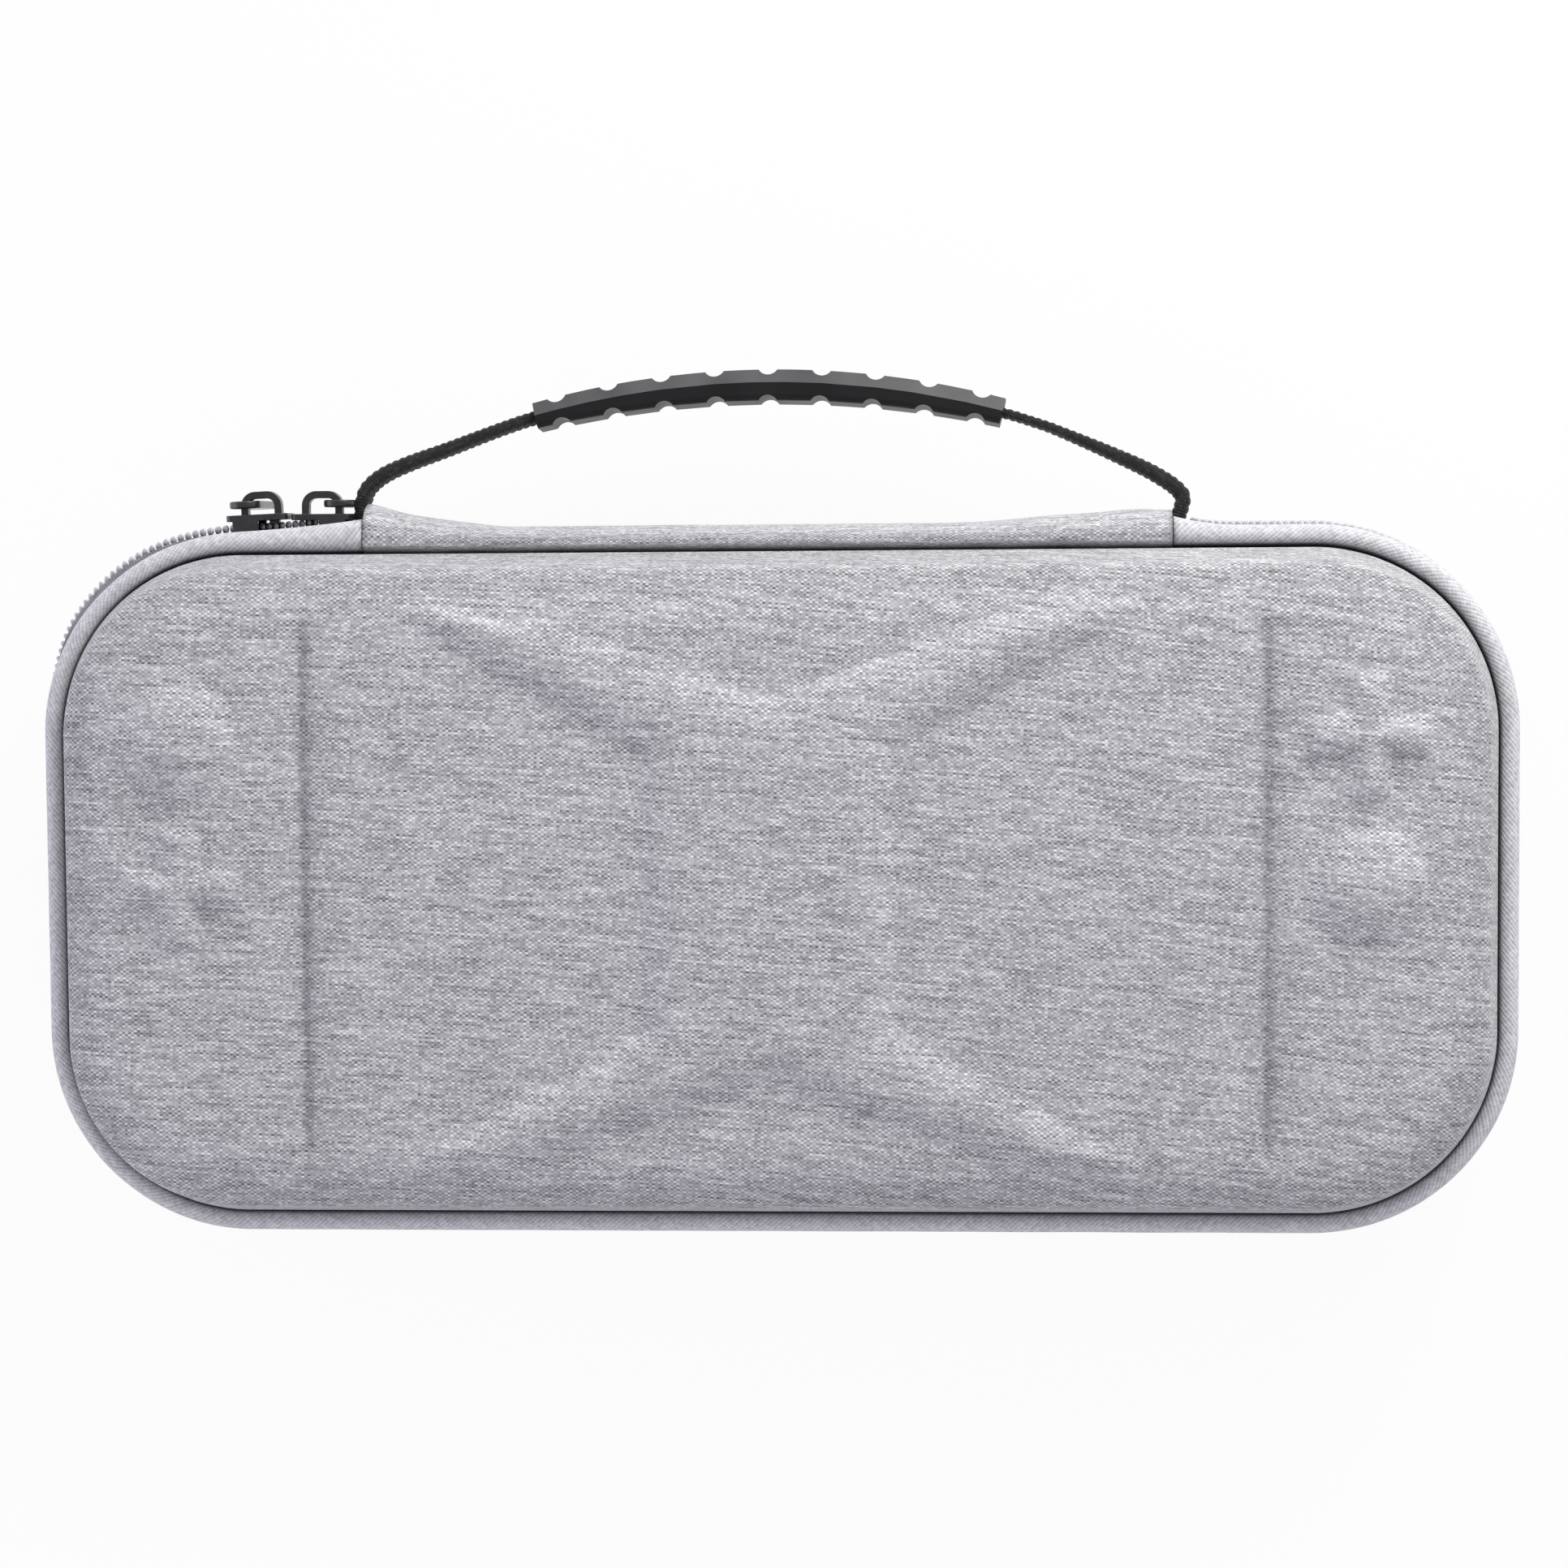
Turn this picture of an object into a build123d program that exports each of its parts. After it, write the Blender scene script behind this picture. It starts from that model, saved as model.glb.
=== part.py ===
"""Zip case for a handheld game console, lying on its back with the decorated front upwards.

Millimetres. +X runs along the case, +Y towards the handle and the fabric hinge, +Z out of the front.
The origin is the centre of the flat back face.
"""

from build123d import *
import os
from math import asin, cos, degrees, radians, sin

os.makedirs("parts", exist_ok=True)

# Moulded halves
shell_length = 252.0
shell_width = 116.5
corner_radius = 32.0
shell_depth = 18.0
shell_wall = 3.5
rim_land = 5.0
rim_gap = 10.0
wall_draft = 6.0
face_edge_radius = 9.0

# Relief on the front face
cross_vertex_y = 29.8
cross_outer_slope = 0.35
cross_block_x = 20.3
cross_block_y = 24.8
cross_inner_slope = 0.55
cross_end_margin = 10.5
cross_rise = 1.3
cross_side_angle = 50.0
crease_x = 83.0
crease_shift = 2.2
crease_width = 2.2
crease_depth = 0.7
crease_end_margin = 11.0
pad_x = 102.6
upper_pad_y = 26.1
lower_pad_y = 0.6
dome_radius = 10.4
dome_rise = 2.6
plus_length = 22.0
plus_arm = 7.0
plus_rise = 1.8
plus_corner = 1.4
plus_side_angle = 25.0

# Edge binding
binding_width = 4.0
binding_height = 4.5
binding_round = 1.9

# Zip
tape_out = 2.6
tape_thickness = 0.6
tape_edge_gap = 0.8
coil_clearance = 0.05
coil_thickness = 1.45
coil_half_width = 2.2
coil_round = 0.7

# Fabric hinge panel, a little off the middle
panel_shift = -1.1
panel_half_length = 71.0
panel_height = 20.0
panel_skin = 1.2
panel_roll = 1.6
panel_rise_left = 8.3
panel_rise_middle = 3.4
panel_rise_right = 6.1
panel_gap = 0.2

# Handle, drawn in its own plane, which droops from the pivot
webbing_thickness = 2.0
webbing_width = 5.0
webbing_gap = 0.3
webbing_clearance = 0.15
webbing_knee_reach = 3.8
webbing_knee_radius = 4.0
webbing_neck_run = 4.0
webbing_neck_radius = 20.0
pivot_out = 7.4
pivot_drop = 3.5
handle_droop = 4.0
grip_radius = 173.0
grip_half_angle = 13.9
grip_slot_overrun = 1.0
grip_reach = 21.8
grip_depth = 9.0
grip_end_thickness = 4.7
grip_middle_thickness = 5.6
grip_round = 1.2
grip_bevel = 2.4
grip_bevel_drop = 1.6
notch_count = 9
notch_pitch = 9.4
notch_radius = 1.9
notch_depth = 0.95

# Zip sliders and pulls
slider_length = 11.0
slider_width = 8.6
slider_round = 1.2
slider_gap = 0.5
slider_nose_gap = 0.4
slider_tilt = 2.5
lower_wing_out = 0.9
lower_wing_thickness = 1.0
upper_wing_out = 6.1
upper_wing_thickness = 1.1
flange_thickness = 1.0
flange_drop = 2.4
flange_length = 4.6
neck_length = 1.8
neck_width = 1.6
neck_from_nose = 2.0
neck_room = 0.5
bridge_bar = 1.3
bridge_width = 2.2
bridge_height = 4.1
bridge_tail_leg = 2.6
bridge_nose_leg = 3.4
bridge_round = 2.6
pull_width = 5.6
pull_length = 17.0
pull_thickness = 1.3
pull_hole_radius = 1.6
pull_lift = 1.2

# Inside
trim_thickness = 1.2
trim_height = 3.0
strap_width = 24.0
strap_thickness = 0.9
strap_overlap = 24.0
strap_offset = 9.0
flap_length = 208.0
flap_width = 96.0
flap_thickness = 2.6
flap_corner = 24.0
flap_lift = 0.2
card_columns = 5
card_rows = 2
card_pitch_x = 37.0
card_pitch_y = 42.0
card_pocket_width = 28.0
card_pocket_height = 34.0
card_pocket_thickness = 0.8
card_pocket_corner = 3.0
mesh_thickness = 0.6
mesh_mouth_y = 38.0
mesh_clearance = 0.1
hem_width = 6.0
hem_overhang = 0.5

# Heights and lines that follow from the sizes above
back_rim_z = shell_depth
mid_z = back_rim_z + rim_gap / 2
front_rim_z = back_rim_z + rim_gap
face_z = front_rim_z + shell_depth
wall_y = shell_width / 2
inner_length = shell_length - 2 * shell_wall
inner_width = shell_width - 2 * shell_wall
inner_radius = corner_radius - shell_wall
inner_edge_radius = face_edge_radius - shell_wall
draft_depth = shell_depth - rim_land
inner_draft_depth = draft_depth - shell_wall
coil_in = tape_out + tape_thickness + coil_clearance
coil_out = coil_in + coil_thickness
straight_end_x = shell_length / 2 - corner_radius
foot_x = panel_half_length + webbing_gap + webbing_thickness / 2
zip_end_x = foot_x + webbing_thickness / 2 + slider_gap
right_slider_x = panel_shift - zip_end_x - slider_length / 2
left_slider_x = right_slider_x - slider_length - slider_nose_gap


def track_plane(track_x, tilt_deg, towards):
    """Plane of a slider on the zip: it follows the long wall, then the corner, and looks outwards."""
    turn = max(0.0, -track_x - straight_end_x) / (corner_radius + coil_in)
    heading = turn + radians(tilt_deg)
    wall_x = max(track_x, -straight_end_x) - corner_radius * sin(turn)
    return Plane(
        origin=(wall_x, wall_y - corner_radius * (1 - cos(turn)), mid_z),
        x_dir=(towards * cos(heading), towards * sin(heading), 0),
        z_dir=(-sin(heading), cos(heading), 0),
    )


slider_planes = {
    "left": track_plane(left_slider_x, slider_tilt, 1),
    "right": track_plane(right_slider_x, 0.0, -1),
}

# Front half: drafted tray with a rounded face, hollow from its rim
with BuildPart() as front_shell:
    with BuildSketch(Plane.XY.offset(front_rim_z)):
        RectangleRounded(shell_length, shell_width, corner_radius)
    extrude(amount=rim_land)
    with BuildSketch(Plane.XY.offset(front_rim_z + rim_land)):
        RectangleRounded(shell_length, shell_width, corner_radius)
    extrude(amount=draft_depth, taper=wall_draft)
    fillet(front_shell.faces().sort_by(Axis.Z)[-1].edges(), radius=face_edge_radius)
    with BuildSketch(Plane.XY.offset(front_rim_z)):
        RectangleRounded(inner_length, inner_width, inner_radius)
    extrude(amount=rim_land, mode=Mode.SUBTRACT)
    with BuildSketch(Plane.XY.offset(front_rim_z + rim_land)):
        RectangleRounded(inner_length, inner_width, inner_radius)
    extrude(amount=inner_draft_depth, taper=wall_draft, mode=Mode.SUBTRACT)
    ceiling = front_shell.faces().filter_by(Axis.Z).sort_by(Axis.Z)[-2]
    fillet(ceiling.edges(), radius=inner_edge_radius)

    # Shallow creases either side of the middle
    with BuildSketch(Plane.XZ):
        with Locations((crease_shift - crease_x, face_z), (crease_shift + crease_x, face_z)):
            Polygon((-crease_width / 2, 0), (crease_width / 2, 0), (0, -crease_depth), align=None)
    extrude(amount=wall_y - crease_end_margin, both=True, mode=Mode.SUBTRACT)

    # Raised cross: a middle block with four arms that spread towards the long edges
    arm_end_y = wall_y - cross_end_margin
    arm_outer_x = (arm_end_y - cross_vertex_y) / cross_outer_slope
    arm_inner_x = cross_block_x + (arm_end_y - cross_block_y) / cross_inner_slope
    with BuildSketch(Plane.XY.offset(face_z)):
        with BuildLine():
            quarter = Polyline(
                (cross_block_x, 0),
                (cross_block_x, cross_block_y),
                (arm_inner_x, arm_end_y),
                (arm_outer_x, arm_end_y),
                (0, cross_vertex_y),
            )
            mirror(quarter, about=Plane.YZ)
            mirror(about=Plane.XZ)
        make_face()
    extrude(amount=cross_rise, taper=cross_side_angle)

    # Two domes and two plus signs, one of each at either end
    dome_sphere = (dome_radius**2 + dome_rise**2) / (2 * dome_rise)
    dome_latitude = degrees(asin((dome_sphere - dome_rise) / dome_sphere))
    with Locations((-pad_x, upper_pad_y, face_z), (pad_x, lower_pad_y, face_z)):
        Sphere(dome_sphere, arc_size1=dome_latitude, align=(Align.CENTER, Align.CENTER, Align.MIN))
    with BuildSketch(Plane.XY.offset(face_z)):
        with Locations((-pad_x, lower_pad_y), (pad_x, upper_pad_y)):
            RectangleRounded(plus_length, plus_arm, plus_corner)
            RectangleRounded(plus_arm, plus_length, plus_corner)
    extrude(amount=plus_rise, taper=plus_side_angle)
front_shell.part.label = "front_shell"
export_step(front_shell.part, "parts/front_shell.step")

# Back half: the same tray turned over, with a plain face
with BuildPart() as back_shell:
    with BuildSketch(Plane.XY.offset(back_rim_z)):
        RectangleRounded(shell_length, shell_width, corner_radius)
    extrude(amount=-rim_land)
    with BuildSketch(Plane.XY.offset(back_rim_z - rim_land)):
        RectangleRounded(shell_length, shell_width, corner_radius)
    extrude(amount=-draft_depth, taper=wall_draft)
    fillet(back_shell.faces().sort_by(Axis.Z)[0].edges(), radius=face_edge_radius)
    with BuildSketch(Plane.XY.offset(back_rim_z)):
        RectangleRounded(inner_length, inner_width, inner_radius)
    extrude(amount=-rim_land, mode=Mode.SUBTRACT)
    with BuildSketch(Plane.XY.offset(back_rim_z - rim_land)):
        RectangleRounded(inner_length, inner_width, inner_radius)
    extrude(amount=-inner_draft_depth, taper=wall_draft, mode=Mode.SUBTRACT)
    floor = back_shell.faces().filter_by(Axis.Z).sort_by(Axis.Z)[1]
    fillet(floor.edges(), radius=inner_edge_radius)
back_shell.part.label = "back_shell"
export_step(back_shell.part, "parts/back_shell.step")

# Edge bindings: a round bead sewn along each rim, open where the hinge panel takes over
binding_base_z = {"front_binding": front_rim_z, "back_binding": back_rim_z - binding_height}
for binding_name, base_z in binding_base_z.items():
    with BuildPart() as binding:
        with BuildSketch(Plane.XY.offset(base_z)):
            RectangleRounded(
                shell_length + 2 * binding_width,
                shell_width + 2 * binding_width,
                corner_radius + binding_width,
            )
        extrude(amount=binding_height)
        fillet(binding.edges().filter_by(Axis.Z, reverse=True), radius=binding_round)
        with BuildSketch(Plane.XY.offset(base_z)):
            RectangleRounded(shell_length, shell_width, corner_radius)
        extrude(amount=binding_height, mode=Mode.SUBTRACT)
        with Locations((panel_shift, wall_y, base_z)):
            Box(
                2 * (panel_half_length + panel_gap),
                2 * binding_width + corner_radius,
                2 * binding_height,
                mode=Mode.SUBTRACT,
            )
    binding.part.label = binding_name
    export_step(binding.part, f"parts/{binding_name}.step")

# Zip tapes: the flat band between the bindings, in two halves
neck_reach = slider_length / 2 - neck_from_nose - neck_length / 2
slider_neck_left = slider_planes["left"].origin.X + neck_reach
slider_neck_right = slider_planes["right"].origin.X - neck_reach
parted_length = slider_neck_right - slider_neck_left + neck_length + 2 * neck_room
parted_x = (slider_neck_left + slider_neck_right) / 2
parted_width = neck_width + 2 * neck_room
tape_base_z = {"front_zip_tape": mid_z + tape_edge_gap, "back_zip_tape": back_rim_z}
for tape_name, base_z in tape_base_z.items():
    tape_height = rim_gap / 2 - tape_edge_gap
    with BuildPart() as tape:
        with BuildSketch(Plane.XY.offset(base_z)):
            tape_face_out = tape_out + tape_thickness
            RectangleRounded(
                shell_length + 2 * tape_face_out,
                shell_width + 2 * tape_face_out,
                corner_radius + tape_face_out,
            )
            RectangleRounded(
                shell_length + 2 * tape_out,
                shell_width + 2 * tape_out,
                corner_radius + tape_out,
                mode=Mode.SUBTRACT,
            )
        extrude(amount=tape_height)
        with Locations((panel_shift, wall_y, mid_z)):
            Box(
                2 * (panel_half_length + panel_gap),
                2 * binding_width + corner_radius,
                2 * rim_gap,
                mode=Mode.SUBTRACT,
            )
        with Locations((parted_x, wall_y, mid_z)):
            Box(parted_length, 2 * corner_radius, parted_width, mode=Mode.SUBTRACT)
    tape.part.label = tape_name
    export_step(tape.part, f"parts/{tape_name}.step")

# Zip coils: the two rows of closed elements, on the outside of the tapes
coil_height = coil_half_width - coil_clearance
coil_base_z = {
    "front_zip_coil": mid_z + coil_clearance,
    "back_zip_coil": mid_z - coil_half_width,
}
for coil_name, base_z in coil_base_z.items():
    with BuildPart() as coil:
        with BuildSketch(Plane.XY.offset(base_z)):
            RectangleRounded(
                shell_length + 2 * coil_out,
                shell_width + 2 * coil_out,
                corner_radius + coil_out,
            )
        extrude(amount=coil_height)
        outer_loops = coil.edges().filter_by(Axis.Z, reverse=True).group_by(Axis.Z)
        far_loop = outer_loops[-1] if base_z > mid_z else outer_loops[0]
        fillet(far_loop, radius=coil_round)
        with BuildSketch(Plane.XY.offset(base_z)):
            RectangleRounded(
                shell_length + 2 * coil_in,
                shell_width + 2 * coil_in,
                corner_radius + coil_in,
            )
        extrude(amount=coil_height, mode=Mode.SUBTRACT)
        with Locations((panel_shift, wall_y, mid_z)):
            Box(2 * zip_end_x, 2 * coil_out + corner_radius, 2 * rim_gap, mode=Mode.SUBTRACT)
        with Locations((parted_x, wall_y, mid_z)):
            Box(parted_length, 2 * corner_radius, parted_width, mode=Mode.SUBTRACT)
    coil.part.label = coil_name
    export_step(coil.part, f"parts/{coil_name}.step")

# Hinge panel: a cloth channel over both rims, slack at its ends
with BuildPart() as hinge_panel:
    with BuildSketch(Plane((panel_shift, 0, mid_z - panel_height / 2))):
        with BuildLine():
            outer_edge = Spline(
                (-panel_half_length, wall_y + panel_rise_left),
                (0, wall_y + panel_rise_middle),
                (panel_half_length, wall_y + panel_rise_right),
            )
            Polyline(
                outer_edge @ 1,
                (panel_half_length, wall_y),
                (-panel_half_length, wall_y),
                outer_edge @ 0,
            )
        make_face()
    extrude(amount=panel_height)
    fillet(hinge_panel.edges().filter_by(GeomType.BSPLINE), radius=panel_roll)
    with BuildSketch(Plane((panel_shift, 0, mid_z - panel_height / 2 + panel_skin))):
        with BuildLine():
            inner_edge = Spline(
                (-panel_half_length, wall_y + panel_rise_left - panel_skin),
                (0, wall_y + panel_rise_middle - panel_skin),
                (panel_half_length, wall_y + panel_rise_right - panel_skin),
            )
            Polyline(
                inner_edge @ 1,
                (panel_half_length, wall_y),
                (-panel_half_length, wall_y),
                inner_edge @ 0,
            )
        make_face()
    extrude(amount=panel_height - 2 * panel_skin, mode=Mode.SUBTRACT)
hinge_panel.part.label = "hinge_panel"
export_step(hinge_panel.part, "parts/hinge_panel.step")

# Handle plane: x along the case, y away from the pivot line
droop = radians(handle_droop)
handle_plane = Plane(
    origin=(panel_shift, wall_y + pivot_out, mid_z - pivot_drop),
    x_dir=(1, 0, 0),
    z_dir=(0, sin(droop), cos(droop)),
)
grip_end_angle = radians(grip_half_angle)
grip_end_x = grip_radius * sin(grip_end_angle)
grip_end_y = grip_reach - grip_radius * (1 - cos(grip_end_angle))
foot_half = webbing_width / 2
neck_x = grip_end_x + webbing_neck_run * cos(grip_end_angle)
neck_y = grip_end_y - webbing_neck_run * sin(grip_end_angle)

# Webbing: one strap from foot to foot, through the grip
with BuildPart() as handle_webbing:
    with BuildSketch(handle_plane):
        with BuildLine() as webbing_line:
            ThreePointArc((-grip_end_x, grip_end_y), (0, grip_reach), (grip_end_x, grip_end_y))
            right_run = FilletPolyline(
                (grip_end_x, grip_end_y),
                (neck_x, neck_y),
                (foot_x, webbing_knee_reach),
                (foot_x, -foot_half),
                radius=[webbing_neck_radius, webbing_knee_radius],
            )
            mirror(right_run, about=Plane.YZ)
        trace(line_width=webbing_thickness)
    extrude(amount=foot_half, both=True)
    foot_ends = handle_webbing.faces().filter_by(Plane(handle_plane.origin, z_dir=handle_plane.y_dir))
    foot_edges = foot_ends.edges().filter_by(Axis.X)
    fillet(foot_edges, radius=foot_half - webbing_clearance)
handle_webbing.part.label = "handle_webbing"
export_step(handle_webbing.part, "parts/handle_webbing.step")

# Grip: a curved rubber bar, bevelled along its outer edge, with half-round notches on both edges
with BuildPart() as handle_grip:
    with BuildSketch(handle_plane):
        with BuildLine():
            middle_half = grip_middle_thickness / 2
            end_half = grip_end_thickness / 2
            end_dx = end_half * sin(grip_end_angle)
            end_dy = end_half * cos(grip_end_angle)
            top_edge = ThreePointArc(
                (-grip_end_x - end_dx, grip_end_y + end_dy),
                (0, grip_reach + middle_half),
                (grip_end_x + end_dx, grip_end_y + end_dy),
            )
            bottom_edge = ThreePointArc(
                (-grip_end_x + end_dx, grip_end_y - end_dy),
                (0, grip_reach - middle_half),
                (grip_end_x - end_dx, grip_end_y - end_dy),
            )
            Line(top_edge @ 0, bottom_edge @ 0)
            Line(top_edge @ 1, bottom_edge @ 1)
        make_face()
    extrude(amount=grip_depth / 2, both=True)
    reach_axis = Axis(handle_plane.origin, handle_plane.y_dir)
    inner_arcs = handle_grip.edges().filter_by(GeomType.CIRCLE).sort_by(reach_axis)[:2]
    fillet(inner_arcs, radius=grip_round)
    outer_face = handle_grip.faces().filter_by(GeomType.CYLINDER).sort_by(reach_axis)[-1]
    outer_arcs = outer_face.edges().filter_by(GeomType.CIRCLE)
    chamfer(outer_arcs, length=grip_bevel_drop, length2=grip_bevel, reference=outer_face)
    with BuildSketch(handle_plane):
        for notch in range(notch_count):
            turn = (notch - (notch_count - 1) / 2) * notch_pitch / grip_radius
            share = (turn / grip_end_angle) ** 2
            half_here = middle_half + (end_half - middle_half) * share
            for side in (-1, 1):
                notch_at = grip_radius + side * (half_here + notch_radius - notch_depth)
                with Locations((notch_at * sin(turn), grip_reach - grip_radius + notch_at * cos(turn))):
                    Circle(notch_radius)
    extrude(amount=grip_depth, both=True, mode=Mode.SUBTRACT)
    with BuildSketch(handle_plane):
        with BuildLine():
            CenterArc(
                (0, grip_reach - grip_radius),
                grip_radius,
                90 - grip_half_angle - grip_slot_overrun,
                2 * (grip_half_angle + grip_slot_overrun),
            )
        trace(line_width=webbing_thickness + 2 * webbing_clearance)
    extrude(amount=foot_half + webbing_clearance, both=True, mode=Mode.SUBTRACT)
handle_grip.part.label = "handle_grip"
export_step(handle_grip.part, "parts/handle_grip.step")

# Sliders and pulls. Each slider rides the closed zip, and x in its plane points to its nose
lower_wing_top = lower_wing_out + lower_wing_thickness
upper_wing_top = upper_wing_out + upper_wing_thickness
pull_out = upper_wing_top + pull_lift
for side, track in slider_planes.items():
    profile = Plane(origin=track.origin, x_dir=track.x_dir, z_dir=track.x_dir.cross(track.z_dir))
    with BuildPart() as slider:
        # Wings under and over the zip, joined by the neck near the nose
        with BuildSketch(track.offset(lower_wing_out)):
            RectangleRounded(slider_length, slider_width, slider_round)
        extrude(amount=lower_wing_thickness)
        with BuildSketch(track.offset(upper_wing_out)):
            RectangleRounded(slider_length, slider_width, slider_round)
        extrude(amount=upper_wing_thickness)
        with BuildSketch(track.offset(lower_wing_top)):
            with Locations((neck_reach, 0)):
                Rectangle(neck_length, neck_width)
        extrude(amount=upper_wing_out - lower_wing_top)
        # Side flanges that close the channel towards the tail
        with BuildSketch(track.offset(upper_wing_out - flange_drop)):
            flange_x = -(slider_length / 2 - slider_round - flange_length / 2)
            flange_y = (slider_width - flange_thickness) / 2
            with Locations((flange_x, flange_y), (flange_x, -flange_y)):
                Rectangle(flange_length, flange_thickness)
        extrude(amount=flange_drop)
        # Arched bridge that holds the pull
        with BuildSketch(profile):
            arch_low = upper_wing_top - upper_wing_thickness / 2
            arch_high = upper_wing_top + bridge_height
            arch_tail = -bridge_tail_leg - bridge_bar / 2
            arch_nose = bridge_nose_leg + bridge_bar / 2
            with BuildLine():
                FilletPolyline(
                    (arch_tail, arch_low),
                    (arch_tail, arch_high),
                    (arch_nose, arch_high),
                    (arch_nose, arch_low),
                    radius=bridge_round,
                )
                Line((arch_tail, arch_low), (arch_nose, arch_low))
            make_face()
            hole_tail = arch_tail + bridge_bar
            hole_nose = arch_nose - bridge_bar
            with BuildLine():
                FilletPolyline(
                    (hole_tail, upper_wing_top),
                    (hole_tail, arch_high - bridge_bar),
                    (hole_nose, arch_high - bridge_bar),
                    (hole_nose, upper_wing_top),
                    radius=bridge_round - bridge_bar,
                )
                Line((hole_tail, upper_wing_top), (hole_nose, upper_wing_top))
            make_face(mode=Mode.SUBTRACT)
        extrude(amount=bridge_width / 2, both=True)
    slider.part.label = f"{side}_slider"
    export_step(slider.part, f"parts/{side}_slider.step")

    # Pull: a flat tab with an eye round the bridge's tail leg, hanging towards the back
    eye = track.origin - track.x_dir * bridge_tail_leg + track.z_dir * pull_out
    tab = Plane(origin=eye, x_dir=(0, 0, -1), z_dir=track.z_dir)
    with BuildPart() as pull:
        with BuildSketch(tab):
            Circle(pull_width / 2)
            with Locations((pull_length / 2, 0)):
                Rectangle(pull_length, pull_width)
            with Locations((pull_length, 0)):
                Circle(pull_width / 2)
            Circle(pull_hole_radius, mode=Mode.SUBTRACT)
        extrude(amount=pull_thickness)
    pull.part.label = f"{side}_pull"
    export_step(pull.part, f"parts/{side}_pull.step")

# Trim tapes inside both rims
trim_base_z = {"front_inner_trim": front_rim_z, "back_inner_trim": back_rim_z - trim_height}
for trim_name, base_z in trim_base_z.items():
    with BuildPart() as trim:
        with BuildSketch(Plane.XY.offset(base_z)):
            RectangleRounded(inner_length, inner_width, inner_radius)
            RectangleRounded(
                inner_length - 2 * trim_thickness,
                inner_width - 2 * trim_thickness,
                inner_radius - trim_thickness,
                mode=Mode.SUBTRACT,
            )
        extrude(amount=trim_height)
    trim.part.label = trim_name
    export_step(trim.part, f"parts/{trim_name}.step")

# Hold-down strap: two elastic halves that lap over the console
inner_wall_y = inner_width / 2
strap_top_z = back_rim_z - trim_height - flap_lift
strap_middle_z = strap_top_z - strap_thickness
lap_low_y = strap_offset - strap_overlap / 2
lap_high_y = strap_offset + strap_overlap / 2
with BuildPart() as strap_loop_half:
    with BuildSketch(Plane.XY.offset(strap_middle_z - strap_thickness)):
        with Locations((0, (lap_high_y - inner_wall_y) / 2)):
            Rectangle(strap_width, lap_high_y + inner_wall_y)
    extrude(amount=strap_thickness)
strap_loop_half.part.label = "strap_loop_half"
export_step(strap_loop_half.part, "parts/strap_loop_half.step")
with BuildPart() as strap_hook_half:
    with BuildSketch(Plane.XY.offset(strap_middle_z)):
        with Locations((0, (lap_low_y + inner_wall_y) / 2)):
            Rectangle(strap_width, inner_wall_y - lap_low_y)
    extrude(amount=strap_thickness)
strap_hook_half.part.label = "strap_hook_half"
export_step(strap_hook_half.part, "parts/strap_hook_half.step")

# Divider with card pockets, sewn to the trim on the hinge side
flap_base_z = strap_top_z + flap_lift
flap_edge_y = inner_wall_y - trim_thickness
flap_y = flap_edge_y - flap_width / 2
with BuildPart() as card_flap:
    with BuildSketch(Plane.XY.offset(flap_base_z)):
        with Locations((0, flap_y)):
            RectangleRounded(flap_length, flap_width, flap_corner)
    extrude(amount=flap_thickness)
card_flap.part.label = "card_flap"
export_step(card_flap.part, "parts/card_flap.step")
with BuildPart() as card_pockets:
    with BuildSketch(Plane.XY.offset(flap_base_z + flap_thickness)):
        with Locations((0, flap_y)):
            with GridLocations(card_pitch_x, card_pitch_y, card_columns, card_rows):
                RectangleRounded(card_pocket_width, card_pocket_height, card_pocket_corner)
    extrude(amount=card_pocket_thickness)
card_pockets.part.label = "card_pockets"
export_step(card_pockets.part, "parts/card_pockets.step")

# Net pocket in the lid, resting on the trim, and the elastic hem along its mouth
mesh_z = front_rim_z + trim_height
with BuildPart() as mesh_pocket:
    with BuildSketch(Plane.XY.offset(mesh_z)):
        RectangleRounded(
            inner_length - 2 * mesh_clearance,
            inner_width - 2 * mesh_clearance,
            inner_radius - mesh_clearance,
        )
        with Locations((0, mesh_mouth_y)):
            Rectangle(
                inner_length,
                inner_width,
                align=(Align.CENTER, Align.MIN),
                mode=Mode.SUBTRACT,
            )
    extrude(amount=mesh_thickness)
mesh_pocket.part.label = "mesh_pocket"
export_step(mesh_pocket.part, "parts/mesh_pocket.step")
with BuildPart() as mesh_hem:
    with BuildSketch(Plane.XY.offset(mesh_z)):
        RectangleRounded(
            inner_length - 2 * mesh_clearance,
            inner_width - 2 * mesh_clearance,
            inner_radius - mesh_clearance,
        )
        with Locations((0, mesh_mouth_y)):
            Rectangle(inner_length, hem_width, align=(Align.CENTER, Align.MIN), mode=Mode.INTERSECT)
    extrude(amount=mesh_thickness + hem_overhang)
mesh_hem.part.label = "mesh_hem"
export_step(mesh_hem.part, "parts/mesh_hem.step")
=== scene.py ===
"""A flat zip case of moulded heather cloth for a handheld console, in the order of its sewing."""

from math import copysign, cos, exp, hypot, pi, radians, sin, sqrt

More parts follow.
